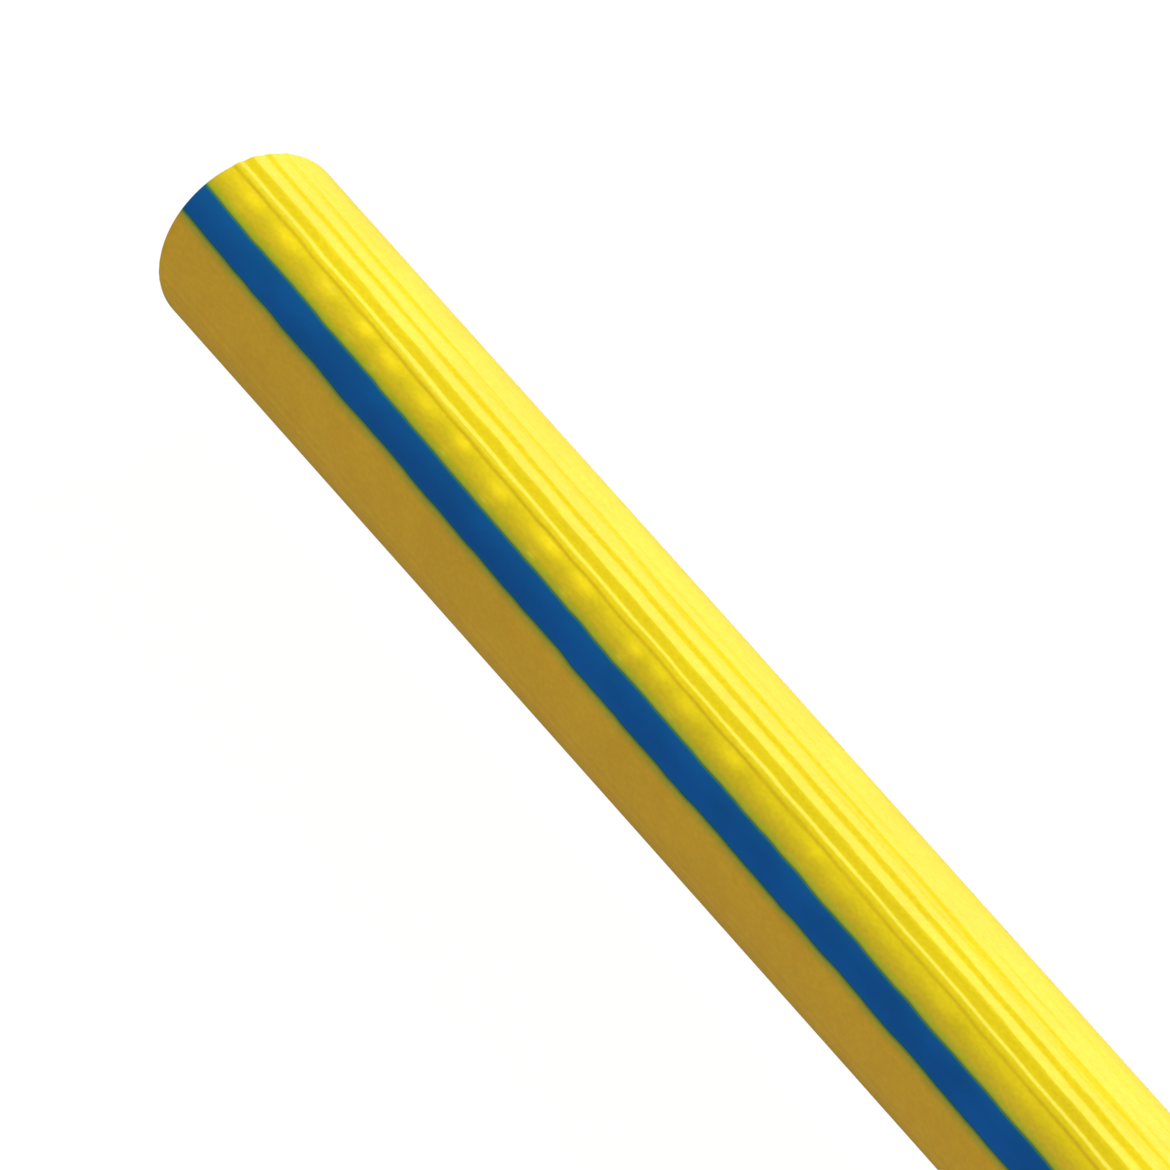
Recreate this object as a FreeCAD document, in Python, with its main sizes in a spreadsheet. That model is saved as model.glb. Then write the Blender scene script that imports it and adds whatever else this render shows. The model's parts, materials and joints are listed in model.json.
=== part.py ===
"""Lifeguard's rescue tube: a round foam float in a striped vinyl skin, with rings, snap hook, tow line and strap.

Frame: origin on the tube's axis at mid length, +X towards the tow line's end, +Z up. Sizes are in millimetres.
The tube lies level on the floor. Its tow line is laid in flakes beside the +X end and runs on to the shoulder
strap, which stands on its edge.
"""

import FreeCAD, Part
import math
import os
import re

import Sketcher

V = FreeCAD.Vector
X_AXIS = V(1, 0, 0)
Y_AXIS = V(0, 1, 0)
Z_AXIS = V(0, 0, 1)

doc = FreeCAD.newDocument("rescue_tube")
sheet = doc.addObject("Spreadsheet::Sheet", "sizes")

DRIVING_SIZES = [
    ("body_dia", 130.0, "outside diameter of the tube"),
    ("body_len", 1270.0, "length of the tube, rim to rim"),
    ("skin_thick", 1.5, "vinyl sleeve"),
    ("rim_depth", 3.0, "end disc set back from the sleeve's rim"),
    ("disc_thick", 2.0, "vinyl end disc"),
    ("stripe_angle", 18.5, "width of the stripe round the tube, degrees"),
    ("stripe_turn", 46.5, "middle of the stripe, from the top towards -Y, degrees"),
    ("stripe_deep", 0.5, "stripe let into the sleeve"),
    ("web_wide", 38.0, "core webbing"),
    ("web_thick", 2.0, "one layer of any webbing"),
    ("web_tail", 90.0, "core webbing sewn back on itself"),
    ("web_taper", 14.0, "length over which the webbing opens into its loop"),
    ("slot_wide", 40.0, "slot for the core webbing"),
    ("slot_high", 6.0, "slot for the core webbing"),
    ("patch_wide", 74.0, "vinyl patch round the slot"),
    ("patch_high", 30.0, "vinyl patch round the slot"),
    ("patch_thick", 1.5, "vinyl patch round the slot"),
    ("patch_round", 8.0, "corners of the patch"),
    ("wire_dia", 5.0, "wire of the rings"),
    ("ring_inside", 42.0, "D ring, inside width along its bar"),
    ("ring_side", 12.0, "D ring, bar to the start of the bow"),
    ("ring_corner", 5.0, "D ring, bend between bar and side"),
    ("bar_room", 0.4, "play of a ring's bar in its webbing loop, on the radius"),
    ("far_reach", 14.0, "far ring's bar, out from the rim"),
    ("near_reach", 30.0, "near ring's bar, out from the rim"),
    ("near_droop", 45.0, "near ring below level, degrees"),
    ("tack_long", 32.0, "row of stitches, across the webbing"),
    ("tack_wide", 1.6, "row of stitches, along the webbing"),
    ("tack_high", 0.4, "thread proud of the webbing"),
    ("tack_step", 4.0, "one row of stitches to the next"),
    ("tack_rows", 4.0, "rows of stitches in one tack"),
    ("eye_hole", 16.0, "swivel eye, inside"),
    ("eye_wire", 5.0, "swivel eye, section"),
    ("eye_play", 0.6, "gap of a ring to the piece it pulls on"),
    ("collar_dia", 9.0, "shoulder of the swivel's stem"),
    ("stem_dia", 6.0, "swivel's stem"),
    ("stem_head_dia", 8.4, "peened head of the stem"),
    ("stem_head_long", 2.5, "peened head of the stem"),
    ("turn_room", 0.08, "running clearance of a stem or pin, on the radius"),
    ("end_play", 0.2, "running clearance along a stem or pin"),
    ("washer_dia", 12.0, "swivel washer"),
    ("washer_thick", 1.0, "swivel washer"),
    ("barrel_at", 21.0, "barrel of the hook, from the ring's wire"),
    ("barrel_long", 12.0, "barrel of the hook"),
    ("barrel_dia", 15.0, "barrel of the hook"),
    ("hook_wire", 7.0, "section of the hook's arm"),
    ("hook_half", 11.0, "middle line of the hook's arm, out from its axis"),
    ("arm_corner", 5.0, "bend of the arm beside the barrel"),
    ("hook_bend", 75.0, "centre of the hook's bend, from the ring's wire"),
    ("nose_long", 13.0, "nose of the hook, back from its bend"),
    ("hook_droop", 24.0, "hook below level, degrees"),
    ("pin_at", 36.5, "gate pin, from the ring's wire"),
    ("pin_dia", 3.0, "gate pin"),
    ("pin_head_dia", 5.0, "gate pin's heads"),
    ("pin_head_long", 0.8, "gate pin's heads"),
    ("ear_round", 4.0, "ear round the gate pin, radius"),
    ("ear_gap", 9.0, "between the ears that carry the gate pin"),
    ("ear_thick", 2.0, "one ear"),
    ("gate_wide", 4.0, "gate, along its pin"),
    ("gate_high", 5.0, "gate, across its pin"),
    ("gate_room", 0.5, "gate's tip short of the nose"),
    ("knuckle_dia", 7.0, "gate round its pin"),
    ("spring_wire", 0.7, "gate spring"),
    ("spring_pitch", 0.8, "gate spring"),
    ("spring_turns", 2.0, "gate spring"),
    ("spring_leg", 9.0, "gate spring's straight end"),
    ("rope_dia", 8.0, "tow line"),
    ("rope_gap", 0.3, "gap between two parts of the line side by side"),
    ("neck_out", 8.0, "line's eye round the core webbing, out from the rim"),
    ("neck_eye", 6.8, "that eye's end, radius of its middle line"),
    ("neck_past", 17.0, "centre of that end, from the tube's axis"),
    ("neck_flat", 38.6, "straight sides of that eye"),
    ("ferrule_long", 22.0, "crimped ferrule"),
    ("ferrule_wall", 1.8, "crimped ferrule"),
    ("tail_out", 2.0, "end of the line, past its ferrule"),
    ("drop_start", 12.0, "straight lead from the neck's ferrule to the drop"),
    ("flake_y", -200.0, "first flake of the line on the floor"),
    ("flake_gap", 32.0, "one flake to the next"),
    ("flake_left", 350.0, "flakes turn back here, along the tube"),
    ("floor_bend", 40.0, "bend of the line into its first flake"),
    ("strap_x", 815.0, "thimble's centre, along the tube"),
    ("strap_turn", 10.0, "strap points this far from +X towards +Y, degrees"),
    ("thimble_bore", 18.0, "round thimble"),
    ("thimble_wall", 2.0, "round thimble, under its groove"),
    ("thimble_lip", 3.0, "round thimble, flange above the groove's floor"),
    ("thimble_edge", 1.0, "round thimble, flange beside the line"),
    ("strap_wide", 50.0, "shoulder webbing"),
    ("strap_inside", 53.0, "strap ring, inside width along its bar"),
    ("strap_reach", 255.0, "strap ring's bar to the centre of the strap's curve"),
    ("strap_round", 120.0, "strap's curve, inside radius"),
    ("lap_from", 60.0, "overlap of the shoulder webbing, along its leg"),
    ("lap_long", 115.0, "overlap of the shoulder webbing"),
    ("lap_tack", 6.0, "first row of stitches, from the overlap's start"),
    ("pad_high", 60.0, "shoulder pad"),
    ("pad_thick", 14.0, "shoulder pad"),
    ("pad_half", 66.0, "shoulder pad, each way round the strap's curve, degrees"),
    ("pad_round", 5.0, "edges of the shoulder pad"),
    ("slider_at", 125.0, "middle of the slider, along the leg"),
    ("slider_long", 28.0, "slider"),
    ("slider_wall", 2.5, "slider, one face"),
    ("slider_rail", 2.5, "slider's rails beyond the webbing's edges"),
    ("slider_bar", 4.0, "slider's cross bars"),
    ("web_room", 0.5, "play round webbing in a slider or pad"),
]

WORKED_OUT_SIZES = [
    ("body_radius", "body_dia / 2"),
    ("core_radius", "body_radius - skin_thick"),
    ("disc_face", "body_len / 2 - rim_depth"),
    ("core_end", "disc_face - disc_thick"),
    ("stripe_floor", "body_radius - stripe_deep"),
    ("far_bar", "0 - body_len / 2 - far_reach"),
    ("near_bar", "body_len / 2 + near_reach"),
    ("wire_radius", "wire_dia / 2"),
    ("loop_inner", "wire_radius + bar_room"),
    ("loop_outer", "loop_inner + web_thick"),
    ("tail_end", "core_end - web_tail"),
    ("bow_radius", "ring_inside / 2 + wire_radius"),
    ("near_bow", "ring_side + bow_radius"),
    ("hook_x", "near_bar + near_bow * cos(near_droop)"),
    ("hook_z", "0 - near_bow * sin(near_droop)"),
    ("eye_ring", "eye_hole / 2 + eye_wire / 2"),
    ("eye_at", "eye_hole / 2 - wire_radius - eye_play"),
    ("collar_at", "eye_at + eye_ring"),
    ("washer_at", "barrel_at - washer_thick"),
    ("stem_hole", "stem_dia / 2 + turn_room"),
    ("barrel_end", "barrel_at + barrel_long"),
    ("arm_at", "barrel_end - hook_wire / 2"),
    ("nose_at", "hook_bend - nose_long"),
    ("ear_at", "barrel_at + barrel_long / 2"),
    ("ears_wide", "ear_gap + 2 * ear_thick"),
    ("spring_radius", "pin_dia / 2 + spring_wire / 2 + 2 * turn_room"),
    ("rope_radius", "rope_dia / 2"),
    ("pair_half", "rope_radius + rope_gap / 2"),
    ("neck_x", "body_len / 2 + neck_out"),
    ("rope_z", "rope_radius - body_radius"),
    ("strap_y", "flake_y - 3 * flake_gap - pair_half"),
    ("strap_z", "strap_inside / 2 + wire_dia - body_radius"),
    ("thimble_eye", "thimble_bore / 2 + thimble_wall + rope_radius"),
    ("thimble_high", "rope_dia + 2 * thimble_edge"),
    ("strap_bow", "strap_inside / 2 + wire_radius"),
    ("strap_bar", "thimble_bore / 2 - wire_radius - eye_play + strap_bow + ring_side"),
    ("strap_centre", "strap_bar + strap_reach"),
    ("leg_sin", "(strap_round - loop_inner) / strap_reach"),
    ("leg_cos", "sqrt(1 - leg_sin * leg_sin)"),
    ("slider_slot", "2 * (web_thick + web_room)"),
    ("slider_window", "(slider_long - 3 * slider_bar) / 2"),
]

for row, (alias, number, note) in enumerate(DRIVING_SIZES, start=1):
    sheet.set(f"A{row}", note)
    sheet.set(f"B{row}", str(number))
    sheet.setAlias(f"B{row}", alias)
doc.recompute()
for row, (alias, formula) in enumerate(WORKED_OUT_SIZES, start=1):
    sheet.setAlias(f"C{row}", alias)
    sheet.set(f"C{row}", "=" + formula)
doc.recompute()

ALIASES = {entry[0] for entry in DRIVING_SIZES + WORKED_OUT_SIZES}


def expression(text):
    """The same text for use outside the sheet, with the sheet's name in front of each of its names."""
    return re.sub(r"[a-z_]+", lambda word: ("sizes." if word[0] in ALIASES else "") + word[0], text)


def value(text):
    """What a text of the sheet's names works out to."""
    sheet.set("D1", "=" + text)
    sheet.recompute()
    return float(sheet.get("D1"))


def bind(thing, **sizes):
    for name, text in sizes.items():
        thing.setExpression(name, expression(text))
    return thing


def place(thing, x="0", y="0", z="0", turn=None):
    """Puts an object at a bound position, turned by a rotation."""
    thing.Placement = FreeCAD.Placement(V(value(x), value(y), value(z)), turn or FreeCAD.Rotation())
    for axis, text in (("x", x), ("y", y), ("z", z)):
        if text != "0":
            thing.setExpression(f"Placement.Base.{axis}", expression(text))
    return thing


def turned(axis, degrees):
    return FreeCAD.Rotation(axis, degrees)


# ------------------------------------------------------------------------------------- primitives and booleans


def cylinder(name, radius, length, x="0", y="0", z="0", along=Z_AXIS):
    solid = bind(doc.addObject("Part::Cylinder", name), Radius=radius, Height=length)
    return place(solid, x, y, z, FreeCAD.Rotation(Z_AXIS, along))


def box(name, length, width, height, x="0", y="0", z="0", turn=None):
    """A box that starts at a corner."""
    solid = bind(doc.addObject("Part::Box", name), Length=length, Width=width, Height=height)
    return place(solid, x, y, z, turn)


def torus(name, ring, section, x="0", along=Z_AXIS):
    solid = bind(doc.addObject("Part::Torus", name), Radius1=ring, Radius2=section)
    return place(solid, x, turn=FreeCAD.Rotation(Z_AXIS, along))


def fuse(name, shapes):
    solid = doc.addObject("Part::MultiFuse", name)
    solid.Shapes = shapes
    return solid


def group(name, shapes):
    solid = doc.addObject("Part::Compound", name)
    solid.Links = shapes
    return solid


def cut(name, base, tool):
    solid = doc.addObject("Part::Cut", name)
    solid.Base = base
    solid.Tool = tool
    return solid


# ------------------------------------------------------------------------------------- sketches and bodies


def new_body(name):
    return doc.addObject("PartDesign::Body", name)


def new_sketch(body, name, plane="XY_Plane"):
    """A sketch on one of the body's own origin planes."""
    sketch = body.newObject("Sketcher::SketchObject", name)
    role = next(feature for feature in body.Origin.OriginFeatures if feature.Role == plane)
    sketch.AttachmentSupport = [(role, "")]
    sketch.MapMode = "FlatFace"
    return sketch


def tie(sketch, kind, *where, text):
    """A dimension bound to the sheet. A point at zero is put on the sketch's axis."""
    if text == "0":
        axis = {"DistanceX": -2, "DistanceY": -1}[kind]
        sketch.addConstraint(Sketcher.Constraint("PointOnObject", *where[-2:], axis))
        return
    index = sketch.addConstraint(Sketcher.Constraint(kind, *where, value(text)))
    sketch.renameConstraint(index, f"size_{index}")
    sketch.setExpression(f"Constraints.size_{index}", expression(text))


def tie_point(sketch, edge, end, x, y):
    tie(sketch, "DistanceX", -1, 1, edge, end, text=x)
    tie(sketch, "DistanceY", -1, 1, edge, end, text=y)


def draw_circle(sketch, radius, x="0", y="0"):
    edge = sketch.addGeometry(Part.Circle(V(value(x), value(y), 0), Z_AXIS, value(radius)))
    tie_point(sketch, edge, 3, x, y)
    tie(sketch, "Radius", edge, text=radius)


def draw_arc(sketch, start, end, centre):
    """A counterclockwise arc from start to end, held by its ends and one coordinate of its centre."""
    radius = (start - centre).Length
    first = math.atan2(start.y - centre.y, start.x - centre.x)
    last = math.atan2(end.y - centre.y, end.x - centre.x)
    return sketch.addGeometry(Part.ArcOfCircle(Part.Circle(centre, Z_AXIS, radius), first, last))


def draw_path(sketch, corners, closed=True):
    """Lines and arcs through corners (x, y). A corner (x, y, cx, cy) starts an arc round that centre, and one
    (x, y, cx, cy, "right") an arc that turns right instead of left. Coordinates are texts of the sheet's names."""
    points = [V(value(corner[0]), value(corner[1]), 0) for corner in corners]
    last = len(corners) if closed else len(corners) - 1
    ends = []
    for i in range(last):
        start, end = points[i], points[(i + 1) % len(points)]
        if len(corners[i]) == 2:
            ends.append((sketch.addGeometry(Part.LineSegment(start, end)), 1, 2))
            continue
        centre = V(value(corners[i][2]), value(corners[i][3]), 0)
        if len(corners[i]) == 4:
            ends.append((draw_arc(sketch, start, end, centre), 1, 2))
        else:
            ends.append((draw_arc(sketch, end, start, centre), 2, 1))
    for i, (edge, start, end) in enumerate(ends):
        tie_point(sketch, edge, start, corners[i][0], corners[i][1])
        if closed or i + 1 < last:
            following = ends[(i + 1) % len(ends)]
            sketch.addConstraint(Sketcher.Constraint("Coincident", edge, end, following[0], following[1]))
        else:
            tie_point(sketch, edge, end, corners[-1][0], corners[-1][1])
        if len(corners[i]) > 2:
            chord = points[(i + 1) % len(points)] - points[i]
            side = ("DistanceY", corners[i][3]) if abs(chord.x) > abs(chord.y) else ("DistanceX", corners[i][2])
            tie(sketch, side[0], -1, 1, edge, 3, text=side[1])


def draw_rectangle(sketch, left, right, bottom, top):
    draw_path(sketch, [(left, bottom), (right, bottom), (right, top), (left, top)])


def draw_rounded(sketch, left, right, bottom, top, radius):
    """A rectangle with round corners."""
    in_left, in_right = f"{left} + {radius}", f"{right} - {radius}"
    in_bottom, in_top = f"{bottom} + {radius}", f"{top} - {radius}"
    draw_path(sketch, [
        (in_left, bottom),
        (in_right, bottom, in_right, in_bottom),
        (right, in_bottom),
        (right, in_top, in_right, in_top),
        (in_right, top),
        (in_left, top, in_left, in_top),
        (left, in_top),
        (left, in_bottom, in_left, in_bottom),
    ])


def pad(body, sketch, length, both_ways=False):
    feature = body.newObject("PartDesign::Pad", "pad")
    feature.Profile = sketch
    if both_ways:
        feature.SideType = "Symmetric"
    bind(feature, Length=length)
    body.Tip = feature
    return body


def sweep(body, section, spine):
    feature = body.newObject("PartDesign::AdditivePipe", "sweep")
    feature.Profile = section
    feature.Spine = (spine, [""])
    body.Tip = feature
    return body


class Trail:
    """A line of straight runs and round bends, each starting where and the way the last one ended."""

    def __init__(self, start, heading):
        self.end = start
        self.heading = heading
        self.edges = []

    def straight(self, length):
        start = self.end
        self.end = start + self.heading * length
        self.edges.append(Part.makeLine(start, self.end))

    def bend(self, radius, degrees, about):
        """Turns by the right-hand rule about an axis."""
        start = self.end
        centre = start + about.cross(self.heading) * math.copysign(radius, degrees)
        middle = centre + turned(about, degrees / 2).multVec(start - centre)
        self.end = centre + turned(about, degrees).multVec(start - centre)
        self.edges.append(Part.Arc(start, middle, self.end).toShape())
        self.heading = turned(about, degrees).multVec(self.heading)

    def sidestep(self, shift, degrees, about):
        """Two bends that cancel, so the trail moves to its left, seen down the axis, and keeps its heading."""
        radius = abs(shift) / 2 / (1 - math.cos(math.radians(degrees)))
        turn = math.copysign(degrees, shift)
        self.bend(radius, turn, about)
        self.bend(radius, -turn, about)

    def pipe(self, radius):
        """A round solid along the trail."""
        wire = Part.Wire(self.edges)
        first = self.edges[0]
        section = Part.Wire(Part.makeCircle(radius, first.valueAt(first.FirstParameter), self.first_heading()))
        return wire.makePipeShell([section], True, False)

    def first_heading(self):
        first = self.edges[0]
        return first.tangentAt(first.FirstParameter)


def sidestep_length(shift, degrees):
    return shift / math.tan(math.radians(degrees / 2))


# ------------------------------------------------------------------------------------- float


def foam_half():
    """Half of the split foam core, with half of the channel the webbing runs in."""
    body = new_body("upper_foam_half")
    sketch = new_sketch(body, "foam_section", "YZ_Plane")
    draw_path(sketch, [
        ("core_radius", "0", "0", "0"),
        ("0 - core_radius", "0"),
        ("0 - slot_wide / 2", "0"),
        ("0 - slot_wide / 2", "slot_high / 2"),
        ("slot_wide / 2", "slot_high / 2"),
        ("slot_wide / 2", "0"),
    ])
    return pad(body, sketch, "2 * core_end", both_ways=True)


def other_foam_half(half):
    mirror = doc.addObject("Part::Mirroring", "lower_foam_half")
    mirror.Source = half
    mirror.Normal = Z_AXIS
    return mirror


def stripe():
    """A strip of the sleeve's own curve, flush with its outside."""
    body = new_body("blue_stripe")
    sketch = new_sketch(body, "stripe_section", "YZ_Plane")
    outer = ("body_radius * sin(stripe_angle / 2)", "body_radius * cos(stripe_angle / 2)")
    inner = ("stripe_floor * sin(stripe_angle / 2)", "stripe_floor * cos(stripe_angle / 2)")
    draw_path(sketch, [
        (outer[0], outer[1], "0", "0"),
        ("0 - " + outer[0], outer[1]),
        ("0 - " + inner[0], inner[1], "0", "0", "right"),
        inner,
    ])
    pad(body, sketch, "body_len", both_ways=True)
    return place(body, turn=turned(X_AXIS, value("stripe_turn")))


def skin(let_in):
    """The vinyl sleeve, open at both ends, with a recess for the stripe."""
    sleeve = new_body("sleeve")
    sketch = new_sketch(sleeve, "sleeve_section", "YZ_Plane")
    draw_circle(sketch, "body_radius")
    draw_circle(sketch, "core_radius")
    pad(sleeve, sketch, "body_len", both_ways=True)
    return cut("vinyl_skin", sleeve, let_in)


def end_disc(label, start):
    """A disc that closes one end, slotted for the webbing."""
    body = new_body(label)
    sketch = new_sketch(body, label + "_outline", "YZ_Plane")
    draw_circle(sketch, "core_radius")
    draw_rectangle(sketch, "0 - slot_wide / 2", "slot_wide / 2", "0 - slot_high / 2", "slot_high / 2")
    pad(body, sketch, "disc_thick")
    return place(body, start)


def strap_patch(label, start):
    """A rounded patch welded round the slot."""
    body = new_body(label)
    sketch = new_sketch(body, label + "_outline", "YZ_Plane")
    sides = ("0 - patch_wide / 2", "patch_wide / 2", "0 - patch_high / 2", "patch_high / 2")
    draw_rounded(sketch, *sides, "patch_round")
    draw_rectangle(sketch, "0 - slot_wide / 2", "slot_wide / 2", "0 - slot_high / 2", "slot_high / 2")
    pad(body, sketch, "patch_thick")
    return place(body, start)


def core_webbing():
    """Webbing right through the core. Each end goes round a ring's bar and is sewn back on itself."""
    body = new_body("core_webbing")
    sketch = new_sketch(body, "webbing_profile", "XZ_Plane")
    draw_path(sketch, [
        ("tail_end", "0"),
        ("tail_end", "0 - web_thick"),
        ("near_bar - web_taper", "0 - web_thick"),
        ("near_bar", "0 - loop_outer", "near_bar", "0"),
        ("near_bar", "loop_outer"),
        ("near_bar - web_taper", "web_thick"),
        ("far_bar + web_taper", "web_thick"),
        ("far_bar", "loop_outer", "far_bar", "0"),
        ("far_bar", "0 - loop_outer"),
        ("far_bar + web_taper", "0 - web_thick"),
        ("0 - tail_end", "0 - web_thick"),
        ("0 - tail_end", "0"),
    ])
    draw_path(sketch, [
        ("near_bar - web_taper", "0"),
        ("near_bar", "0 - loop_inner", "near_bar", "0"),
        ("near_bar", "loop_inner"),
    ])
    draw_path(sketch, [
        ("far_bar + web_taper", "0"),
        ("far_bar", "loop_inner", "far_bar", "0"),
        ("far_bar", "0 - loop_inner"),
    ])
    return pad(body, sketch, "web_wide", both_ways=True)


def core_tack(label, start):
    """Rows of stitches that show on both faces of the doubled webbing."""
    rows = []
    for row in range(int(value("tack_rows"))):
        for face in ("web_thick", "0 - web_thick - tack_high"):
            x = f"{start} + {row} * tack_step"
            name = f"{label}_row"
            rows.append(box(name, "tack_wide", "tack_long", "tack_high", x, "0 - tack_long / 2", face))
    return group(label, rows)


# ------------------------------------------------------------------------------------- rings and snap hook


def d_ring(label, bow):
    """A D of round wire: its bar along Y through the origin and its bow towards +X."""
    body = new_body(label)
    spine = new_sketch(body, label + "_line")
    near = f"{bow} - ring_corner"
    far = f"ring_corner - {bow}"
    draw_path(spine, [
        ("0", "0"),
        ("0", far, "ring_corner", far),
        ("ring_corner", f"0 - {bow}"),
        ("ring_side", f"0 - {bow}", "ring_side", "0"),
        ("ring_side", bow),
        ("ring_corner", bow, "ring_corner", near),
        ("0", near),
    ])
    section = new_sketch(body, label + "_section", "XZ_Plane")
    draw_circle(section, "wire_radius")
    return sweep(body, section, spine)


def hung(thing):
    """Puts a piece made along +X where the snap hook hangs from the near ring's bow."""
    return place(thing, "hook_x", z="hook_z", turn=turned(Y_AXIS, value("hook_droop")))


def swivel_eye():
    """The eye on the ring, with a shouldered stem whose end is peened over inside the hook."""
    eye = torus("eye_ring_part", "eye_ring", "eye_wire / 2", "eye_at", along=Y_AXIS)
    collar_long = "washer_at - end_play - collar_at"
    collar = cylinder("eye_collar", "collar_dia / 2", collar_long, "collar_at", along=X_AXIS)
    stem_long = "barrel_end + end_play + stem_head_long - collar_at"
    stem = cylinder("eye_stem", "stem_dia / 2", stem_long, "collar_at", along=X_AXIS)
    head = cylinder("eye_head", "stem_head_dia / 2", "stem_head_long", "barrel_end + end_play", along=X_AXIS)
    return hung(fuse("swivel_eye", [eye, collar, stem, head]))


def swivel_washer():
    disc = cylinder("washer_disc", "washer_dia / 2", "washer_thick", "washer_at", along=X_AXIS)
    hole = cylinder("washer_hole", "stem_hole", "washer_thick", "washer_at", along=X_AXIS)
    return hung(cut("swivel_washer", disc, hole))


def hook_arm():
    """The hook's round arm: out of the barrel's side, along, round the bend and back to the nose."""
    body = new_body("hook_arm")
    spine = new_sketch(body, "hook_arm_line")
    draw_path(spine, [
        ("arm_at", "0"),
        ("arm_at", "arm_corner - hook_half", "arm_at + arm_corner", "arm_corner - hook_half"),
        ("arm_at + arm_corner", "0 - hook_half"),
        ("hook_bend", "0 - hook_half", "hook_bend", "0"),
        ("hook_bend", "hook_half"),
        ("nose_at", "hook_half"),
    ], closed=False)
    section = new_sketch(body, "hook_arm_section", "XZ_Plane")
    draw_circle(section, "hook_wire / 2", "arm_at", "0")
    return sweep(body, section, spine)


def hook_ears():
    """Two ears from the barrel to the gate's pin."""
    body = new_body("hook_ears_block")
    sketch = new_sketch(body, "hook_ear_outline")
    draw_path(sketch, [
        ("ear_at", "0"),
        ("barrel_end", "0"),
        ("pin_at + ear_round", "hook_half", "pin_at", "hook_half"),
        ("pin_at", "hook_half + ear_round"),
        ("ear_at", "hook_wire / 2"),
    ])
    pad(body, sketch, "ears_wide", both_ways=True)
    between = box(
        "between_ears", "pin_at + ear_round", "hook_half + 2 * ear_round", "ear_gap",
        z="0 - ear_gap / 2",
    )
    return cut("hook_ears", body, between)


def hook_body():
    barrel = cylinder("hook_barrel", "barrel_dia / 2", "barrel_long", "barrel_at", along=X_AXIS)
    solid = fuse("hook_solid", [barrel, hook_arm(), hook_ears()])
    bore = cylinder("hook_bore", "stem_hole", "barrel_long", "barrel_at", along=X_AXIS)
    pin_hole = cylinder("hook_pin_hole", "pin_dia / 2", "ears_wide", "pin_at", "hook_half", "0 - ears_wide / 2")
    return hung(cut("hook_body", solid, fuse("hook_holes", [bore, pin_hole])))


def gate_pin():
    shank = cylinder("pin_shank", "pin_dia / 2", "ears_wide", "pin_at", "hook_half", "0 - ears_wide / 2")
    top = cylinder("pin_top", "pin_head_dia / 2", "pin_head_long", "pin_at", "hook_half", "ears_wide / 2")
    below = "0 - ears_wide / 2 - pin_head_long"
    bottom = cylinder("pin_bottom", "pin_head_dia / 2", "pin_head_long", "pin_at", "hook_half", below)
    return hung(fuse("gate_pin", [shank, top, bottom]))


def hook_gate():
    """The spring-loaded gate, from its pin to just short of the nose."""
    low = "0 - gate_wide / 2"
    knuckle = cylinder("gate_knuckle", "knuckle_dia / 2", "gate_wide", "pin_at", "hook_half", low)
    tongue_long = "nose_at - gate_room - pin_at"
    tongue = box("gate_tongue", tongue_long, "gate_high", "gate_wide", "pin_at", "hook_half - gate_high / 2", low)
    hole = cylinder("gate_hole", "pin_dia / 2 + turn_room", "gate_wide", "pin_at", "hook_half", low)
    return hung(cut("hook_gate", fuse("gate_solid", [knuckle, tongue]), hole))


def gate_spring():
    """A short coil round the pin beside the gate, with one end along the gate."""
    coil = new_body("spring_coil")
    section = new_sketch(coil, "spring_section", "XZ_Plane")
    draw_circle(section, "spring_wire / 2", "spring_radius", "0")
    turns = coil.newObject("PartDesign::AdditiveHelix", "spring_turns_part")
    turns.Profile = section
    turns.ReferenceAxis = (next(f for f in coil.Origin.OriginFeatures if f.Role == "Z_Axis"), [""])
    turns.Mode = 1
    bind(turns, Pitch="spring_pitch", Turns="spring_turns")
    coil.Tip = turns
    start = "gate_wide / 2 + end_play + spring_wire / 2"
    place(coil, "pin_at", "hook_half", start, turned(Z_AXIS, -90))
    leg = cylinder(
        "spring_leg_part", "spring_wire / 2", "spring_leg", "pin_at", "hook_half - spring_radius", start,
        along=X_AXIS,
    )
    return hung(fuse("gate_spring", [coil, leg]))


# ------------------------------------------------------------------------------------- tow line

EYE_SLANT = 30.0
THIMBLE_SLANT = 45.0
DROP_SLANT = 60.0


def eye(trail, radius, flat, slant, about):
    """An eye in the line: through the ferrule, out, round the end and back through the ferrule."""
    through = value("ferrule_long + 2 * tail_out")
    out = radius - value("pair_half")
    trail.straight(through)
    trail.sidestep(out, slant, about)
    if flat:
        trail.straight(flat)
    trail.bend(radius, -180, about)
    if flat:
        trail.straight(flat)
    trail.sidestep(-out, slant, about)
    trail.straight(through)


def eye_reach(radius, flat, slant):
    """From the line's end outside the ferrule to the centre of the eye's round end."""
    through = value("ferrule_long + 2 * tail_out")
    return through + sidestep_length(radius - value("pair_half"), slant) + flat


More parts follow.
